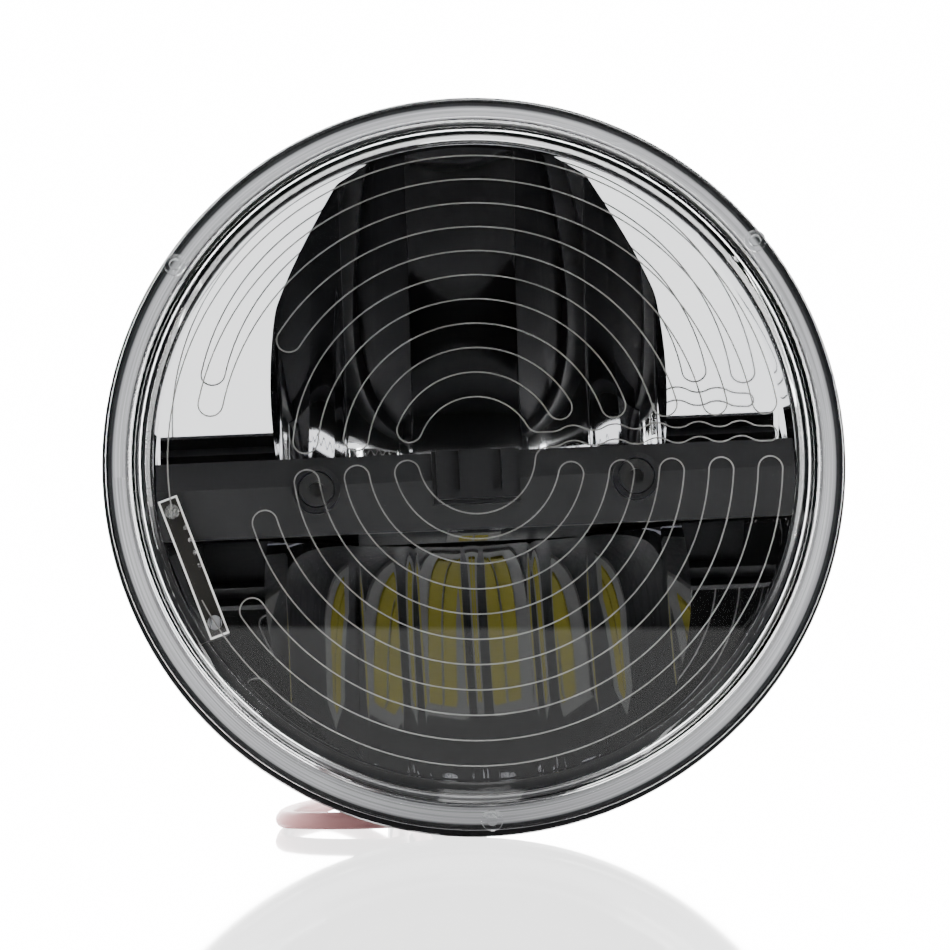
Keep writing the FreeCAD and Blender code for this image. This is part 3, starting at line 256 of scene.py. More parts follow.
def turned_rings_group() -> bpy.types.NodeTree:
    """Make the group for streaks that run round the lamp axis, as pouring or turning leaves them.

    Returns:
        A group with Vector and Scale in, and Rings and Radius out.
    """
    wiring, given, result = new_group(
        "turned_rings",
        {"Vector": VECTOR, "Scale": FLOAT},
        {"Rings": FLOAT, "Radius": FLOAT},
    )
    parts = wiring.add("ShaderNodeSeparateXYZ", Vector=given.outputs["Vector"])
    across, upward = parts.outputs["X"], parts.outputs["Z"]
    across_squared = wiring.maths("MULTIPLY", across, across)
    squares = wiring.maths("ADD", across_squared, wiring.maths("MULTIPLY", upward, upward))
    radius = wiring.maths("SQRT", squares)
    angle = wiring.maths("ARCTAN2", upward, across)
    outward = wiring.maths("MULTIPLY", radius, given.outputs["Scale"])
    place = wiring.add("ShaderNodeCombineXYZ", X=outward, Y=angle)
    noise = wiring.add("ShaderNodeTexNoise", Vector=place.outputs[0], Scale=1.0, Detail=2.0)
    wiring.feed(result, "Rings", wiring.span(noise.outputs[0], 0.32, 0.68))
    wiring.feed(result, "Radius", radius)
    return wiring.tree


class Groups:
    """The shared shader groups, each made once."""

    grain = surface_grain_group()
    lines = drawn_lines_group()
    rings = turned_rings_group()


def start_material(name: str) -> tuple[Wiring, Node, Socket]:
    """Start a material with its Principled shader.

    Args:
        name: The material's name.

    Returns:
        The wiring, the Principled node and the Object coordinate socket.
    """
    material = bpy.data.materials.new(name)
    material.use_nodes = True
    wiring = Wiring(material.node_tree)
    shader = next(node for node in material.node_tree.nodes if node.type == "BSDF_PRINCIPLED")
    place = wiring.add("ShaderNodeTexCoord").outputs["Object"]
    return wiring, shader, place


def material_of(wiring: Wiring) -> bpy.types.Material:
    """The material that a wiring belongs to."""
    return next(item for item in bpy.data.materials if item.node_tree == wiring.tree)


def add_group(wiring: Wiring, group: bpy.types.NodeTree, **sockets: Any) -> Node:
    """Place a shared group in a material.

    Args:
        wiring: The material's wiring.
        group: The shared group.
        sockets: The group's input values.

    Returns:
        The group's node.
    """
    return wiring.add("ShaderNodeGroup", {"node_tree": group}, **sockets)


# Finishes
class Sheen(Enum):
    """How a plain finish catches the light."""

    MATTE = 0.62
    SATIN = 0.42
    HALF_GLOSS = 0.26


@dataclass(frozen=True)
class PlainFinish:
    """A moulded, cast or coated finish with grain, drift of tone and fine specks."""

    name: str
    colour: Colour
    drift: Colour
    sheen: Sheen
    spread: float = 0.12
    metallic: float = 0.0
    grain: float = 1400.0
    depth: float = 0.00003
    shine: float = 0.5

    def make(self) -> bpy.types.Material:
        """Build the material.

        Returns:
            The finished material.
        """
        wiring, shader, place = start_material(self.name)
        marks = add_group(wiring, Groups.grain, Vector=place, Scale=self.grain)
        tone = wiring.blend(marks.outputs["Drift"], self.colour, self.drift)
        wiring.feed(shader, "Base Color", wiring.blend(marks.outputs["Specks"], tone, self.drift))
        low = max(0.02, self.sheen.value - self.spread / 2)
        height = marks.outputs["Height"]
        wiring.feed(shader, "Roughness", wiring.span(height, 0.3, 0.7, low, low + self.spread))
        shader.inputs["Metallic"].default_value = self.metallic
        shader.inputs["Specular IOR Level"].default_value = self.shine
        wiring.bump(shader, height, 0.5, self.depth)
        return material_of(wiring)


@dataclass(frozen=True)
class PouredSeal:
    """Pale silicone with streaks that run round the lamp; inside the inner radius painted shade, dark at
    the top and turning pale towards the bottom as painted light from below, and a dark outer lip.
    """

    name: str
    colour: Colour
    streak: Colour
    shade_and_lip: Colour
    inner: float = 83.3 * MM
    outer: float = 86.3 * MM
    soft: float = 0.3 * MM
    scale: float = 2600.0
    painted_light_span: Pair = (-70 * MM, 30 * MM)
    painted_light_share: float = 0.75

    def make(self) -> bpy.types.Material:
        """Build the material.

        Returns:
            The finished material.
        """
        wiring, shader, place = start_material(self.name)
        streaks = add_group(wiring, Groups.rings, Vector=place, Scale=self.scale)
        rings, radius = streaks.outputs["Rings"], streaks.outputs["Radius"]
        grain = add_group(wiring, Groups.grain, Vector=place, Scale=900.0)
        parts = wiring.add("ShaderNodeSeparateXYZ", Vector=place)
        # Painted light and shade: inside the inner radius the seal is dark at the top and pale towards the
        # bottom, as if lit by the table below.
        low = wiring.span(parts.outputs["Z"], *self.painted_light_span, self.painted_light_share, 0.0)
        pale = wiring.blend(rings, self.colour, self.streak)
        within = wiring.span(radius, self.inner, self.inner + 2 * self.soft)
        shown = wiring.maths("MAXIMUM", within, low)
        rim = wiring.span(radius, self.outer - self.soft, self.outer + self.soft, 1.0, 0.0)
        tone = wiring.blend(wiring.maths("MULTIPLY", shown, rim), self.shade_and_lip, pale)
        wiring.feed(shader, "Base Color", tone)
        wiring.feed(shader, "Roughness", wiring.span(grain.outputs["Height"], 0.3, 0.7, 0.5, 0.65))
        shader.inputs["Specular IOR Level"].default_value = 0.2
        wiring.bump(shader, rings, 0.3, 0.00003)
        return material_of(wiring)


@dataclass(frozen=True)
class DrawnMetal:
    """Bare metal with fine lines along one direction."""

    name: str
    colour: Colour
    drift: Colour
    roughness: float
    stretch: Colour = (1.0, 1.0, 0.04)
    scale: float = 2600.0

    def make(self) -> bpy.types.Material:
        """Build the material.

        Returns:
            The finished material.
        """
        wiring, shader, place = start_material(self.name)
        drawn = add_group(wiring, Groups.lines, Vector=place, Scale=self.scale, Stretch=self.stretch)
        lines = drawn.outputs["Lines"]
        grain = add_group(wiring, Groups.grain, Vector=place, Scale=900.0)
        wiring.feed(shader, "Base Color", wiring.blend(grain.outputs["Drift"], self.colour, self.drift))
        low, high = self.roughness * 0.75, self.roughness * 1.25
        wiring.feed(shader, "Roughness", wiring.span(lines, 0.0, 1.0, low, high))
        shader.inputs["Metallic"].default_value = 1.0
        wiring.bump(shader, lines, 0.25, 0.00001)
        return material_of(wiring)


@dataclass(frozen=True)
class MirrorCoat:
    """Vacuum metallised mirror with a faint haze and hardly any waviness."""

    name: str = "mirror_coat"
    colour: Colour = (0.9, 0.9, 0.91)
    haze: Colour = (0.84, 0.84, 0.86)

    def make(self) -> bpy.types.Material:
        """Build the material.

        Returns:
            The finished material.
        """
        wiring, shader, place = start_material(self.name)
        marks = add_group(wiring, Groups.grain, Vector=place, Scale=700.0)
        wiring.feed(shader, "Base Color", wiring.blend(marks.outputs["Drift"], self.colour, self.haze))
        wiring.feed(shader, "Roughness", wiring.span(marks.outputs["Drift"], 0.0, 1.0, 0.015, 0.04))
        shader.inputs["Metallic"].default_value = 1.0
        wiring.bump(shader, marks.outputs["Height"], 0.05, 0.00001)
        return material_of(wiring)


@dataclass(frozen=True)
class ClearMoulding:
    """Clear polycarbonate that lets light through to what lies behind it."""

    name: str = "clear_lens"
    colour: Colour = (0.985, 0.99, 0.99)
    drift: Colour = (0.975, 0.985, 0.985)
    index: float = 1.45

    def make(self) -> bpy.types.Material:
        """Build the material.

        Returns:
            The finished material.
        """
        wiring, shader, place = start_material(self.name)
        marks = add_group(wiring, Groups.grain, Vector=place, Scale=300.0)
        wiring.feed(shader, "Base Color", wiring.blend(marks.outputs["Drift"], self.colour, self.drift))
        wiring.feed(shader, "Roughness", wiring.span(marks.outputs["Drift"], 0.0, 1.0, 0.0, 0.012))
        shader.inputs["Transmission Weight"].default_value = 1.0
        shader.inputs["IOR"].default_value = self.index
        clear = wiring.add("ShaderNodeBsdfTransparent").outputs[0]
        path = wiring.add("ShaderNodeLightPath")
        through = wiring.maths("MAXIMUM", path.outputs["Is Shadow Ray"], path.outputs["Is Diffuse Ray"])
        wiring.show(wiring.mix(through, shader.outputs[0], clear))
        return material_of(wiring)


@dataclass(frozen=True)
class Laminate:
    """A circuit board: solder mask over copper runs that stand out a little."""

    name: str
    mask: Colour
    run: Colour
    pitch: float = 260.0
    shine: float = 0.3

    def make(self) -> bpy.types.Material:
        """Build the material.

        Returns:
            The finished material.
        """
        wiring, shader, place = start_material(self.name)
        edge = {"feature": "DISTANCE_TO_EDGE"}
        cells = wiring.add("ShaderNodeTexVoronoi", edge, Vector=place, Scale=self.pitch, Randomness=0.55)
        runs = wiring.span(cells.outputs["Distance"], 0.1, 0.14)
        grain = add_group(wiring, Groups.grain, Vector=place, Scale=2000.0)
        wiring.feed(shader, "Base Color", wiring.blend(runs, self.mask, self.run))
        wiring.feed(shader, "Roughness", wiring.span(grain.outputs["Height"], 0.3, 0.7, 0.5, 0.62))
        shader.inputs["Specular IOR Level"].default_value = self.shine
        wiring.bump(shader, runs, 0.4, 0.00003)
        return material_of(wiring)


@dataclass(frozen=True)
class TinnedBoard:
    """A dark circuit board with a bright tinned border, placed by its middle and its long direction."""

    name: str
    mask: Colour
    tin: Colour
    middle: Pair = (-67.77 * MM, -22.81 * MM)
    along: Pair = (0.319, -0.948)
    half_long: float = 17.5 * MM
    half_wide: float = 2.4 * MM
    border: float = 0.5 * MM

    def offset(self, wiring: Wiring, parts: Node, side: Pair) -> Socket:
        """Distance from the board's middle along a direction.

        Args:
            wiring: The material's wiring.
            parts: The node that gives X, Y and Z.
            side: X and Z of the direction.

        Returns:
            The socket of the distance.
        """
        shares = []
        for axis, middle, share in zip("XZ", self.middle, side):
            away = wiring.maths("SUBTRACT", parts.outputs[axis], middle)
            shares.append(wiring.maths("MULTIPLY", away, share))
        return wiring.maths("ABSOLUTE", wiring.maths("ADD", *shares))

    def make(self) -> bpy.types.Material:
        """Build the material.

        Returns:
            The finished material.
        """
        wiring, shader, place = start_material(self.name)
        parts = wiring.add("ShaderNodeSeparateXYZ", Vector=place)
        lengthwise = self.offset(wiring, parts, self.along)
        crosswise = self.offset(wiring, parts, (-self.along[1], self.along[0]))
        end = wiring.span(lengthwise, self.half_long - self.border, self.half_long - self.border * 0.7)
        side = wiring.span(crosswise, self.half_wide - self.border, self.half_wide - self.border * 0.7)
        edge = wiring.maths("MAXIMUM", end, side)
        grain = add_group(wiring, Groups.grain, Vector=place, Scale=2000.0)
        wiring.feed(shader, "Base Color", wiring.blend(edge, self.mask, self.tin))
        wiring.feed(shader, "Roughness", wiring.span(grain.outputs["Height"], 0.3, 0.7, 0.4, 0.55))
        shader.inputs["Specular IOR Level"].default_value = 0.15
        return material_of(wiring)


BLACK = (0.006, 0.006, 0.0065)
DEEP = (0.011, 0.011, 0.012)
DULL = (0.014, 0.014, 0.014)
FINISHES: dict[str, Any] = {
    finish.name: finish
    for finish in (
        ClearMoulding(),
        PouredSeal("seal_rubber", (0.42, 0.42, 0.43), (0.2, 0.2, 0.21), DEEP),
        DrawnMetal("heater_metal", (0.2, 0.2, 0.195), (0.16, 0.157, 0.15), 0.5),
        TinnedBoard("heater_laminate", (0.009, 0.008, 0.007), (0.6, 0.6, 0.58)),
        DrawnMetal("zinc_steel", (0.62, 0.62, 0.64), (0.5, 0.5, 0.52), 0.28),
        PlainFinish("solder", (0.72, 0.72, 0.7), (0.6, 0.6, 0.58), Sheen.HALF_GLOSS, metallic=1.0),
        PlainFinish(
            "black_casting",
            (0.005, 0.005, 0.0055),
            (0.009, 0.009, 0.01),
            Sheen.SATIN,
            grain=2200.0,
            depth=0.00006,
            shine=0.1,
        ),
        MirrorCoat(),
        PlainFinish(
            "black_moulding", BLACK, BLACK, Sheen.SATIN, 0.04, grain=1800.0, depth=0.000002, shine=0.2
        ),
        PlainFinish("dark_screw", (0.012, 0.012, 0.012), (0.02, 0.02, 0.02), Sheen.SATIN, metallic=0.6),
        PlainFinish("black_anodised", (0.004, 0.004, 0.0045), BLACK, Sheen.MATTE, shine=0.05),
        PlainFinish("thermal_sheet", (0.3, 0.31, 0.35), (0.24, 0.25, 0.3), Sheen.MATTE),
        Laminate("black_laminate", (0.003, 0.003, 0.0035), BLACK, shine=0.05),
        PlainFinish("led_ceramic", (0.06, 0.06, 0.058), (0.05, 0.05, 0.048), Sheen.MATTE, shine=0.05),
        PlainFinish("led_phosphor", (0.09, 0.08, 0.012), (0.08, 0.07, 0.01), Sheen.MATTE, shine=0.02),
        Laminate("green_laminate", (0.01, 0.075, 0.03), (0.02, 0.12, 0.05)),
        PlainFinish("ferrite", (0.02, 0.02, 0.022), (0.03, 0.03, 0.032), Sheen.MATTE),
        DrawnMetal("can_aluminium", (0.7, 0.7, 0.72), (0.6, 0.6, 0.62), 0.3),
        PlainFinish("black_chip", (0.012, 0.012, 0.012), (0.018, 0.018, 0.018), Sheen.SATIN),
        PlainFinish("vent_plastic", DEEP, DULL, Sheen.SATIN, shine=0.1),
        PlainFinish("grommet_rubber", BLACK, DEEP, Sheen.MATTE, shine=0.1),
        PlainFinish(
            "red_sheath",
            (0.5, 0.26, 0.26),
            (0.45, 0.22, 0.22),
            Sheen.SATIN,
            grain=900.0,
            depth=0.00002,
            shine=0.1,
        ),
        PlainFinish("plug_plastic", DEEP, DULL, Sheen.SATIN, shine=0.1),
        DrawnMetal("blade_brass", (0.72, 0.58, 0.3), (0.62, 0.48, 0.24), 0.3),
    )
}


class Finisher:
    """Gives every node and piece the material of its slot."""

    def __init__(self) -> None:
        """Start with no material made."""
        self.made: dict[str, bpy.types.Material] = {}

    def material(self, slot: str) -> bpy.types.Material:
        """The material of a slot, made on first use."""
        if slot not in self.made:
            self.made[slot] = FINISHES[slot].make()
        return self.made[slot]

    def dress_nodes(self) -> None:
        """Assign each node's slot material to its object."""
        for part in frame["record"]["subparts"]:
            piece = frame["nodes"][part["node"]]
            piece.data.materials.clear()
            piece.data.materials.append(self.material(part["material_slot"]))


# Surfaces
def grid_faces(rows: int, columns: int) -> np.ndarray:
    """Quads between neighbouring points of a grid of points.

    Args:
        rows: Points along the first direction.
        columns: Points along the second direction.

    Returns:
        One row of four point numbers per quad.
    """
    index = np.arange(rows * columns).reshape(rows, columns)
    corners = [index[:-1, :-1], index[:-1, 1:], index[1:, 1:], index[1:, :-1]]
    return np.stack(corners, -1).reshape(-1, 4)


def shell(front: np.ndarray, back: np.ndarray) -> Surface:
    """A closed wall between two grids of points: both grids, and a strip round their border.

    Args:
        front: Points of the front, rows by columns by 3.
        back: Points of the back, of the same shape.

    Returns:
        All points, and the quads.
    """
    rows, columns = front.shape[:2]
    count = rows * columns
    index = np.arange(count).reshape(rows, columns)
    border = np.concatenate([index[0], index[1:, -1], index[-1, -2::-1], index[-2:0:-1, 0]])
    after = np.roll(border, -1)
    walls = np.stack([after, border, border + count, after + count], -1)
    faces = grid_faces(rows, columns)
    points = np.concatenate([front.reshape(-1, 3), back.reshape(-1, 3)])
    return points, np.concatenate([faces, faces[:, ::-1] + count, walls])


def rounded(corners: np.ndarray, reach: np.ndarray, steps: int = 5) -> np.ndarray:
    """A line through corners, each cut by a curve from one side to the other.

    The curve starts and ends at the corner's reach along its sides and is the quadratic
    one that has the corner as its middle control point. The first and last points stay.

    Args:
        corners: Points of the line, count by 2.
        reach: How far each inner corner's curve reaches along its sides.
        steps: Points of each curve.

    Returns:
        The points of the rounded line.
    """
    inner = corners[1:-1]
    before = corners[:-2] - inner
    after = corners[2:] - inner
    start = inner + before / np.linalg.norm(before, axis=1, keepdims=True) * reach[:, None]
    end = inner + after / np.linalg.norm(after, axis=1, keepdims=True) * reach[:, None]
    share = np.linspace(0, 1, steps)[None, :, None]
    curve = (1 - share) ** 2 * start[:, None]
    curve = curve + 2 * share * (1 - share) * inner[:, None] + share**2 * end[:, None]
    return np.concatenate([corners[:1], curve.reshape(-1, 2), corners[-1:]])


def turned(profile: np.ndarray, segments: int, centre: Pair = (0.0, 0.0)) -> Surface:
    """A profile of radius and depth carried round an axis along Y.

    Each point is (cx + r cos a, y, cz + r sin a).

    Args:
        profile: Radius and depth of each point, in the order round the section.
        segments: Steps of the turn.
        centre: X and Z of the axis.

    Returns:
        The points, and the quads.
    """
    angle = np.linspace(0, 2 * math.pi, segments + 1)[None, :]
    radius, depth = profile[:, :1], profile[:, 1:]
    across = centre[0] + radius * np.cos(angle)
    upward = centre[1] + radius * np.sin(angle)
    points = np.stack(np.broadcast_arrays(across, depth, upward), -1)
    return points.reshape(-1, 3), grid_faces(len(profile), segments + 1)


def add_object(name: str, data: Any) -> bpy.types.Object:
    """Put new data into the scene.

    Args:
        name: The object's name.
        data: Its mesh, curve, camera or light.

    Returns:
        The new object.
    """
    item = bpy.data.objects.new(name, data)
    bpy.context.scene.collection.objects.link(item)
    return item


def make_piece(
    name: str,
    shells: list[Surface],
    finisher: Finisher,
    slot: str,
    nodes: tuple[str, ...],
    sharp: float = 8.0,
) -> bpy.types.Object:
    """Turn closed surfaces into one piece that stands for the given nodes.

    Args:
        name: The piece's name.
        shells: Points in millimetres and quads of each closed surface.
        finisher: Source of the material.
        slot: The record's material slot.
        nodes: The nodes that the piece stands for.
        sharp: Angle in degrees past which an edge stays sharp.

    Returns:
        The new piece.
    """
    starts = np.cumsum([0] + [len(points) for points, _ in shells])
    points = np.concatenate([points for points, _ in shells]) * MM
    faces = np.concatenate([quads + start for (_, quads), start in zip(shells, starts)])
    mesh = bpy.data.meshes.new(name)
    mesh.from_pydata(points.tolist(), [], faces.tolist())
    work = bmesh.new()
    work.from_mesh(mesh)
    bmesh.ops.remove_doubles(work, verts=work.verts, dist=2e-6)
    bmesh.ops.dissolve_degenerate(work, dist=1e-7, edges=work.edges)
    bmesh.ops.recalc_face_normals(work, faces=work.faces)
    work.to_mesh(mesh)
    work.free()
    mesh.shade_smooth()
    mesh.set_sharp_from_angle(angle=math.radians(sharp))
    piece = add_object(name, mesh)
    mesh.materials.append(finisher.material(slot))
    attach(piece, ROOT)
    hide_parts(*nodes)
    return piece


# Pieces of the lamp
@dataclass(frozen=True)
class ClearLens:
    """The domed lens with its bevel, step, flange and three round pads, in millimetres."""

    dome: float = 400.0
    dome_centre: float = 376.02
    wall: float = 3.0
    face_radius: float = 78.0
    inner_face: float = 76.5
    rim: tuple[Pair, ...] = (
        (82.0, -13.5),
        (82.6, -10.0),
        (83.4, -10.0),
        (83.4, -11.0),
        (88.0, -11.0),
        (88.0, -6.84),
        (79.5, -6.84),
        (79.2, -11.4),
    )
    roundness: tuple[float, ...] = (0.9, 0.7, 0.3, 0.2, 0.3, 0.5, 0.4, 0.3, 0.8, 0.8)
    pad_circle: float = 85.7
    pad_angles: tuple[float, ...] = (35.8, 144.2, 270.0)
    pad_radius: float = 2.6
    pad_depths: Pair = (-11.9, -10.7)
    stud_radius: float = 1.4
    stud_depths: Pair = (-12.7, -11.6)
    button_roundness: Pair = (0.25, 0.1)
    button_segments: int = 48
    sharp: float = 30.0
    rings: int = 40
    segments: int = 360

    def dome_line(self, radius: np.ndarray, ball: float) -> np.ndarray:
        """Points of a ball about the dome's centre.

        The depth is the centre's, less the root of ball squared minus radius squared.

        Args:
            radius: Distances from the axis.
            ball: Radius of the ball.

        Returns:
            Radius and depth of each point.
        """
        return np.stack([radius, self.dome_centre - np.sqrt(ball**2 - radius**2)], -1)

    def section(self) -> np.ndarray:
        """The lens's half section, from the outer apex round the rim to the inner apex.

        Returns:
            Radius and depth of each point.
        """
        inner_ball = self.dome - self.wall
        outer = self.dome_line(np.linspace(0, self.face_radius, self.rings), self.dome)
        inner = self.dome_line(np.linspace(self.inner_face, 0, self.rings), inner_ball)
        corners = np.concatenate([outer[-2:], np.array(self.rim), inner[:2]])
        edge = rounded(corners, np.array(self.roundness))
        return np.concatenate([outer[:-2], edge, inner[2:]])

    def button(self, angle: float, radius: float, depths: Pair) -> Surface:
        """A round button on the flange: a rounded rectangle turned about its own axis.

        Args:
            angle: Where it sits round the lens, in degrees.
            radius: Its radius.
            depths: Depth of its front, and of its back inside the flange.

        Returns:
            The points, and the quads.
        """
        front, back = depths
        corners = np.array([(0.0, front), (radius, front), (radius, back), (0.0, back)])
        turn = math.radians(angle)
        centre = (self.pad_circle * math.cos(turn), self.pad_circle * math.sin(turn))
        outline = rounded(corners, np.array(self.button_roundness))
        return turned(outline, self.button_segments, centre)

    def build(self, finisher: Finisher) -> bpy.types.Object:
        """Build the lens.

        Args:
            finisher: Source of the material.

        Returns:
            The lens.
        """
        shells = [turned(self.section(), self.segments)]
        for angle in self.pad_angles:
            shells.append(self.button(angle, self.pad_radius, self.pad_depths))
            shells.append(self.button(angle, self.stud_radius, self.stud_depths))
        return make_piece("clear_lens", shells, finisher, "clear_lens", ("lens",), self.sharp)


@dataclass(frozen=True)
class FlutedMirror:
    """One half of the mirror, a fluted bowl that meets two plane wings, in millimetres.

    The flute edges run from the middle outwards, and so do the bulges, with 0 for a plane
    flute. The deck is the height where the half starts, and side is 1 above it and -1 below.
    """

    node: str
    edges: tuple[float, ...]
    bulges: tuple[float, ...]
    vertex: float
    wide_focus: float
    high_focus: float
    deck: float
    side: int
    straight_from: float = 200.0
    limit: float = 86.0
    wing_depth: float = 17.0
    wing_slope: float = 0.28
    rounding: float = 0.45
    wall: float = 2.2
    radius: float = 78.7
    front: float = -6.0
    skirt_wall: float = 1.5
    skirt_depth: float = 16.0
    least_wall: float = 0.8
    crease_from: float = 20.0
    rows: int = 96
    columns: int = 22
    crease_steps: int = 4000
    easing_steps: int = 13
    skirt_steps: int = 181
    nose_steps: int = 8

    def plan(self, across: np.ndarray, bulged: bool = True) -> np.ndarray:
        """Depth of the bowl at the deck.

        The flute edges lie on the parabola vertex minus x squared over four focal lengths.
        Between two edges the bowl is their chord, or the arc that rises by the bulge
        towards the lens.

        Args:
            across: Values of X.
            bulged: Whether the flutes bulge, or are plane.

        Returns:
            The depth at each X.
        """
        half = np.array(self.edges)
        knots = np.concatenate([[-self.limit], -half[::-1], half, [self.limit]])
        depths = self.vertex - knots**2 / (4 * self.wide_focus)
        rise = np.concatenate([[0.0], self.bulges[:0:-1], self.bulges, [0.0]]) * bulged
        flute = np.clip(np.searchsorted(knots, across) - 1, 0, len(knots) - 2)
        left, right = knots[flute], knots[flute + 1]
        first, last, bulge = depths[flute], depths[flute + 1], rise[flute]
        wide, fall = right - left, last - first
        chord = np.hypot(wide, fall)
        safe = np.maximum(bulge, 1e-6)
        bend = chord**2 / (8 * safe) + safe / 2
        centre_x = (left + right) / 2 - fall / chord * (bend - safe)
        centre_y = (first + last) / 2 + wide / chord * (bend - safe)
        arc = centre_y - np.sqrt(np.maximum(bend**2 - (across - centre_x) ** 2, 0.0))
        return np.where(bulge > 0, arc, first + fall * (across - left) / wide)

    def eased(self, across: np.ndarray) -> np.ndarray:
        """The plan with its flute edges rounded: the mean of the plan over a short span to both sides."""
        spans = np.linspace(-self.rounding, self.rounding, self.easing_steps)
        return np.mean([self.plan(across + span) for span in spans], axis=0)

    def fall(self, height: np.ndarray) -> np.ndarray:
        """How far the bowl comes forward: a parabola that runs on straight past its last curved height."""
        turn = np.minimum(height, self.straight_from)
        return (turn**2 + 2 * turn * (height - turn)) / (4 * self.high_focus)

    def sheet(self) -> Surface:
        """The mirror sheet: depth is the deeper of bowl and wing, with a column on every flute edge.

        Returns:
            The points, and the quads.
        """
        top = self.radius - self.deck * self.side
        height = top * np.sin(np.linspace(0, math.pi / 2, self.rows))
        reach = np.sqrt(np.maximum(self.radius**2 - (self.deck + self.side * height) ** 2, 0.0))
        line = np.linspace(self.crease_from, self.limit, self.crease_steps)
        meet = self.wing_depth - self.wing_slope * height + self.fall(height)
        crease = np.interp(meet, self.eased(line)[::-1], line[::-1])
        bounds = [np.zeros_like(height)]
        bounds += [np.minimum(np.minimum(edge, crease), reach) for edge in self.edges]
        bounds += [np.minimum(crease, reach), reach]
        share = (1 - np.cos(np.linspace(0, math.pi, self.columns, endpoint=False)))[None, :] / 2
        gaps = zip(bounds[:-1], bounds[1:])
        strips = [low[:, None] + (high - low)[:, None] * share for low, high in gaps]
        half = np.concatenate(strips + [reach[:, None]], axis=1)
        across = np.concatenate([-half[:, :0:-1], half], axis=1)
        tall = np.broadcast_to(height[:, None], across.shape)
        wing = self.wing_depth - self.wing_slope * tall
        face = np.maximum(np.maximum(self.eased(across) - self.fall(tall), wing), self.front)
        rear = np.maximum(self.plan(across, False) - self.fall(tall), wing) + self.wall
        rear = np.maximum(rear, face + self.least_wall)
        upward = self.deck + self.side * tall
        return shell(np.stack([across, face, upward], -1), np.stack([across, rear, upward], -1))

    def skirt(self) -> Surface:
        """The half ring round the sheet: a wall with a round front edge, carried round the axis.

        The wall's half width at depth y is the root of b squared less y squared within the round
        edge of radius b, with y counted from the edge's middle, and b behind it.

        Returns:
            The points, and the quads.
        """
        start = math.asin(self.deck * self.side / self.radius)
        angle = np.linspace(start, math.pi - start, self.skirt_steps)[:, None]
        nose = self.skirt_wall / 2
        middle = self.radius - nose
        edge = nose * np.sin(np.linspace(0, math.pi / 2, self.nose_steps)) ** 2
        depth = np.concatenate([self.front + edge, [self.skirt_depth]])[None, :]
        ahead = np.minimum(depth - self.front - nose, 0.0)
        half = np.sqrt(np.maximum(nose**2 - ahead**2, 0.0))
        walls = []
        for ring in (middle - half, middle + half):
            across, upward = ring * np.cos(angle), ring * np.sin(angle) * self.side
            walls.append(np.stack(np.broadcast_arrays(across, depth, upward), -1))
        return shell(walls[0], walls[1])

    def build(self, finisher: Finisher) -> bpy.types.Object:
        """Build the mirror.

        Args:
            finisher: Source of the material.

        Returns:
            The mirror.
        """
        name = self.node.replace("reflector", "mirror")
        return make_piece(name, [self.sheet(), self.skirt()], finisher, "mirror_coat", (self.node,))


UPPER_MIRROR = FlutedMirror(
    node="upper_reflector",
    edges=(13.3, 30.0, 46.0),
    bulges=(0.5, 0.5, 0.5),
    vertex=44.2,
    wide_focus=20.0,
    high_focus=34.0,
    deck=0.0,
    side=1,
)
LOWER_MIRROR = FlutedMirror(
    node="lower_reflector",
    edges=(2.9, 13.9, 18.9, 28.0, 46.0),
    bulges=(0.6, 0.0, 0.5, 0.0, 1.2),
    vertex=46.0,
    wide_focus=23.0,
    high_focus=24.0,
    deck=-14.0,
    side=-1,
    straight_from=40.0,
)


@dataclass
class Lead:
    """The red lead that leaves the grommet, lies in a loop on the floor and ends at the plug."""

    diameter: float = 4.2 * MM
    length: float = 328.7 * MM
    arc_share: float = 0.45
    arc_steps: int = 16
    facets: int = 6
    route: tuple[Colour, ...] = (
        (0, 73.6, -34),
        (0, 106, -34),
        (-14, 110, -71.5),
        (-20.5, 58, -78.6),
        (-21, 9, -83.6),
        (-49.5, 9, -82.6),
        (-48.5, 50, -78.5),
        (-36, 95, -73.5),
        (-8, 118, -56),
        (-8, 142, -56),
    )

    def path(self) -> np.ndarray:
        """The lead's middle line: straight runs with an arc at each inner point of the route.

        An arc starts and ends its share of the shorter run away from its point. With c its middle, r its
        radius, e the direction from c to its start and t the direction of travel there, its points
        are c + r (e cos a + t sin a) for a from 0 to the turn.

        Returns:
            The points in metres, count by 3.
        """
        corner = np.array(self.route, float) * MM
        inner = corner[1:-1]
        before, after = corner[:-2] - inner, corner[2:] - inner
        first = np.linalg.norm(before, axis=1, keepdims=True)
        second = np.linalg.norm(after, axis=1, keepdims=True)
        before, after = before / first, after / second
        reach = self.arc_share * np.minimum(first, second)
        turn = math.pi - np.arccos(np.sum(before * after, axis=1, keepdims=True))
        radius = reach / np.tan(turn / 2)
        halfway = before + after
        halfway = halfway / np.linalg.norm(halfway, axis=1, keepdims=True)
        middle = inner + halfway * radius / np.cos(turn / 2)
        start = (inner + before * reach - middle) / radius
        angle = (turn * np.linspace(0, 1, self.arc_steps))[:, :, None]
        swing = start[:, None] * np.cos(angle) - before[:, None] * np.sin(angle)
        arcs = middle[:, None] + radius[:, None] * swing
        return np.concatenate([corner[:1], arcs.reshape(-1, 3), corner[-1:]])

    def build(self, finisher: Finisher) -> bpy.types.Object:
        """Lay the lead as one curve along its path.

        Args:
            finisher: Source of the sheath's material.

        Returns:
            The lead's curve object.
        """
        curve = bpy.data.curves.new("lead", "CURVE")
        curve.dimensions = "3D"
        spline = curve.splines.new("POLY")
        path = self.path()
        points = np.column_stack([path, np.ones(len(path))])
        spline.points.add(len(points) - 1)
        spline.points.foreach_set("co", points.ravel())
        curve.bevel_depth = self.diameter / 2
        curve.bevel_resolution = self.facets
        curve.use_fill_caps = True
        lead = add_object("lead", curve)
        curve.materials.append(finisher.material("red_sheath"))
        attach(lead, ROOT)
        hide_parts("pigtail_cable")
        return lead


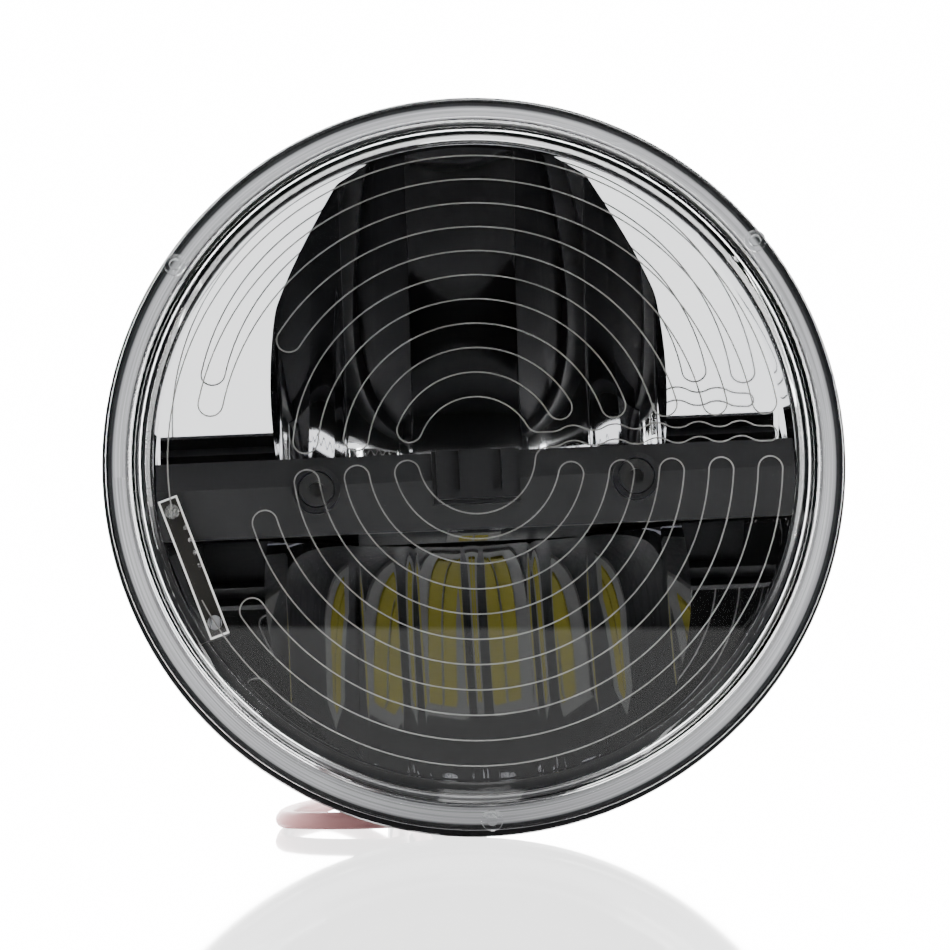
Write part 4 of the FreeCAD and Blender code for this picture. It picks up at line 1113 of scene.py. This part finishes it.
# Camera and studio
@dataclass(frozen=True)
class PhotoCamera:
    """The camera of the photograph, placed by angles about the lens."""

    azimuth: float = -2.0
    elevation: float = -7.0
    roll: float = 2.7
    distance: float = 1.2
    picture: float = 950.0
    scale: float = 0.2386 * MM
    centre: Pair = (475.0, 461.7)
    aim: Colour = (0.0, -9 * MM, 0.0)
    sensor: float = 36.0

    def axes(self) -> tuple[Vector, Vector, Vector]:
        """The camera's right, up and backward directions."""
        side, height = math.radians(self.azimuth), math.radians(self.elevation)
        flat = math.cos(height)
        back = Vector((math.sin(side) * flat, -math.cos(side) * flat, math.sin(height)))
        level = Vector((0, 0, 1)).cross(back).normalized()
        upright = back.cross(level)
        turn = math.radians(self.roll)
        right = level * math.cos(turn) - upright * math.sin(turn)
        return right, level * math.sin(turn) + upright * math.cos(turn), back

    def build(self) -> bpy.types.Object:
        """Make the camera and set it as the scene's own.

        Returns:
            The camera object.
        """
        right, up, back = self.axes()
        data = bpy.data.cameras.new("photo_camera")
        data.sensor_width = self.sensor
        data.sensor_fit = "HORIZONTAL"
        data.lens = self.sensor * self.distance / (self.picture * self.scale)
        data.clip_start = 0.05
        camera = add_object("photo_camera", data)
        off_x = (self.picture / 2 - self.centre[0]) * self.scale
        off_y = (self.centre[1] - self.picture / 2) * self.scale
        place = Vector(self.aim) + back * self.distance + right * off_x + up * off_y
        attitude = Matrix((right, up, back)).transposed().to_4x4()
        camera.matrix_world = Matrix.Translation(place) @ attitude
        bpy.context.scene.camera = camera
        return camera


@dataclass
class Studio:
    """A white table before a white wall, under soft light, with a dark room in front of the lamp."""

    floor_height: float = -89.1 * MM
    floor_rise: float = 0.1228
    floor_lean: float = -0.0471
    floor_half: float = 3.0
    floor_glow: float = 2.6
    carpet_glow: float = 2.6
    carpet_shine: float = 0.7
    lamp_shadow_share: float = 0.058
    gloss: float = 0.6
    wall_seen: float = 16.0
    wall_glow: float = 22.5
    wall_soft: float = 3.0
    horizon: float = 0.5
    horizon_soft: float = 0.004
    wall_soft_edge: float = 0.1
    dark: float = 0.004
    carpet_taper: float = 0.45
    carpet_side: Pair = (0.07, 0.12)
    carpet_start: Pair = (-0.05, -0.02)
    lens_passes: float = 3.0
    lacquer_haze: float = 0.04
    lights: tuple[tuple[str, Colour, Pair, float], ...] = (
        ("left_strip", (-0.7, -0.42, 0.2), (0.03, 0.6), 60.0),
        ("right_strip", (0.62, -0.52, 0.2), (0.03, 0.6), 60.0),
        ("high_soft", (0.1, -0.7, 1.0), (0.35, 0.35), 3.0),
    )

    def normal(self) -> Vector:
        """The floor's upward direction."""
        return Vector((-self.floor_lean, -self.floor_rise, 1.0)).normalized()

    def floor(self) -> bpy.types.Object:
        """Make the tilted table top that the lamp stands on.

        Returns:
            The floor object.
        """
        half = self.floor_half
        corners = np.array([(-half, -half), (half, -half), (half, half), (-half, half)])
        height = self.floor_height + self.floor_rise * corners[:, 1] + self.floor_lean * corners[:, 0]
        mesh = bpy.data.meshes.new("table_top")
        mesh.from_pydata(np.column_stack([corners, height]).tolist(), [], [(0, 1, 2, 3)])
        top = add_object("table_top", mesh)
        mesh.materials.append(self.floor_material())
        return top

    def carpet(self, wiring: Wiring, path: Node) -> Socket:
        """How bright the table ahead is: less where the lens itself mirrors it than behind the lens.

        Args:
            wiring: The node tree at work.
            path: Its light path node.

        Returns:
            The brightness socket.
        """
        inside = wiring.maths("GREATER_THAN", path.outputs["Transmission Depth"], self.lens_passes)
        full = wiring.maths("MAXIMUM", inside, path.outputs["Is Diffuse Ray"])
        return wiring.span(full, 0.0, 1.0, self.carpet_shine, self.carpet_glow)

    def floor_material(self) -> bpy.types.Material:
        """White lacquer that shines, clear from below; for light and reflections it glows in a strip ahead
        of the lamp, with a painted shadow under the lamp.

        Returns:
            The floor's material.
        """
        wiring, shader, place = start_material("white_table")
        wiring.tree.nodes.remove(shader)
        parts = wiring.add("ShaderNodeSeparateXYZ", Vector=place)
        across = wiring.maths("ABSOLUTE", parts.outputs["X"])
        along = parts.outputs["Y"]
        spread = wiring.maths("ADD", across, wiring.maths("MULTIPLY", along, self.carpet_taper))
        within = wiring.span(spread, *self.carpet_side, 1.0, 0.0)
        # Painted shadow: from just in front of the lamp backwards, the glow for light and reflections
        # drops to a small share, for the shadow the lamp casts.
        ahead = wiring.span(along, *self.carpet_start, 1.0, self.lamp_shadow_share)
        path = wiring.add("ShaderNodeLightPath")
        share = wiring.maths("MULTIPLY", within, ahead)
        lit = wiring.maths("MULTIPLY", share, self.carpet(wiring, path))
        seen = path.outputs["Is Camera Ray"]
        direct = wiring.maths("MULTIPLY", seen, self.floor_glow)
        other = wiring.maths("MULTIPLY", wiring.maths("SUBTRACT", 1.0, seen), lit)
        level = wiring.maths("DIVIDE", wiring.maths("ADD", direct, other), 1 - self.gloss)
        glow = wiring.add("ShaderNodeEmission", Color=(1.0, 1.0, 1.0), Strength=level)
        shine = wiring.add("ShaderNodeBsdfGlossy", Color=(1.0, 1.0, 1.0), Roughness=self.lacquer_haze)
        lacquer = wiring.mix(self.gloss, glow.outputs[0], shine.outputs[0])
        clear = wiring.add("ShaderNodeBsdfTransparent").outputs[0]
        below = wiring.add("ShaderNodeNewGeometry").outputs["Backfacing"]
        wiring.show(wiring.mix(below, lacquer, clear))
        return material_of(wiring)

    def world(self) -> None:
        """A bright wall behind the lamp, the table's white below, and a dark room in front above it."""
        world = bpy.data.worlds.new("studio")
        world.use_nodes = True
        bpy.context.scene.world = world
        wiring = Wiring(world.node_tree)
        wiring.tree.nodes.clear()
        ray = wiring.add("ShaderNodeTexCoord").outputs["Generated"]
        upward = wiring.add("ShaderNodeVectorMath", {"operation": "DOT_PRODUCT"})
        wiring.feed(upward, 0, ray)
        wiring.feed(upward, 1, tuple(self.normal()))
        lift = math.sin(math.radians(self.horizon))
        path = wiring.add("ShaderNodeLightPath")
        carpet = self.carpet(wiring, path)
        edge = (lift - self.horizon_soft, lift + self.horizon_soft)
        front = wiring.span(upward.outputs["Value"], *edge, carpet, self.dark)
        parts = wiring.add("ShaderNodeSeparateXYZ", Vector=ray)
        behind = wiring.span(parts.outputs["Y"], -self.wall_soft_edge, self.wall_soft_edge)
        level = wiring.span(path.outputs["Is Diffuse Ray"], 0.0, 1.0, self.wall_glow, self.wall_soft)
        wall = wiring.maths("MULTIPLY", behind, level)
        room = wiring.maths("MULTIPLY", wiring.maths("SUBTRACT", 1.0, behind), front)
        lit = wiring.maths("ADD", wall, room)
        seen = path.outputs["Is Camera Ray"]
        direct = wiring.maths("MULTIPLY", seen, self.wall_seen)
        other = wiring.maths("MULTIPLY", wiring.maths("SUBTRACT", 1.0, seen), lit)
        background = wiring.add("ShaderNodeBackground", Color=(1.0, 1.0, 1.0))
        wiring.feed(background, "Strength", wiring.maths("ADD", direct, other))
        output = wiring.add("ShaderNodeOutputWorld")
        wiring.feed(output, "Surface", background.outputs[0])

    def lamp(self, name: str, place: Colour, size: Pair, radiance: float) -> bpy.types.Object:
        """Stand a soft rectangular light that faces the lamp.

        Args:
            name: The light's name.
            place: Where it stands.
            size: Width and height of the rectangle.
            radiance: How bright its face is.

        Returns:
            The light object.
        """
        data = bpy.data.lights.new(name, "AREA")
        data.shape = "RECTANGLE"
        data.size, data.size_y = size
        data.energy = radiance * math.pi * size[0] * size[1]
        light = add_object(name, data)
        light.location = place
        light.rotation_euler = (-Vector(place)).to_track_quat("-Z", "Y").to_euler()
        return light

    def build(self) -> None:
        """Set up floor, surroundings and lights."""
        self.floor()
        self.world()
        for name, place, size, radiance in self.lights:
            self.lamp(name, place, size, radiance)


def main() -> None:
    """Build every piece in order."""
    logging.basicConfig(level=logging.INFO, format="%(name)s: %(message)s")
    camera = PhotoCamera().build()
    log.info("camera at %s", tuple(round(part, 3) for part in camera.location))
    finisher = Finisher()
    finisher.dress_nodes()
    log.info("dressed %d nodes", len(frame["nodes"]))
    pieces = [ClearLens().build(finisher), UPPER_MIRROR.build(finisher), LOWER_MIRROR.build(finisher)]
    pieces.append(Lead().build(finisher))
    for piece in pieces:
        log.info("built %s", piece.name)
    Studio().build()
    bpy.context.view_layer.update()


if __name__ == "__main__":
    main()
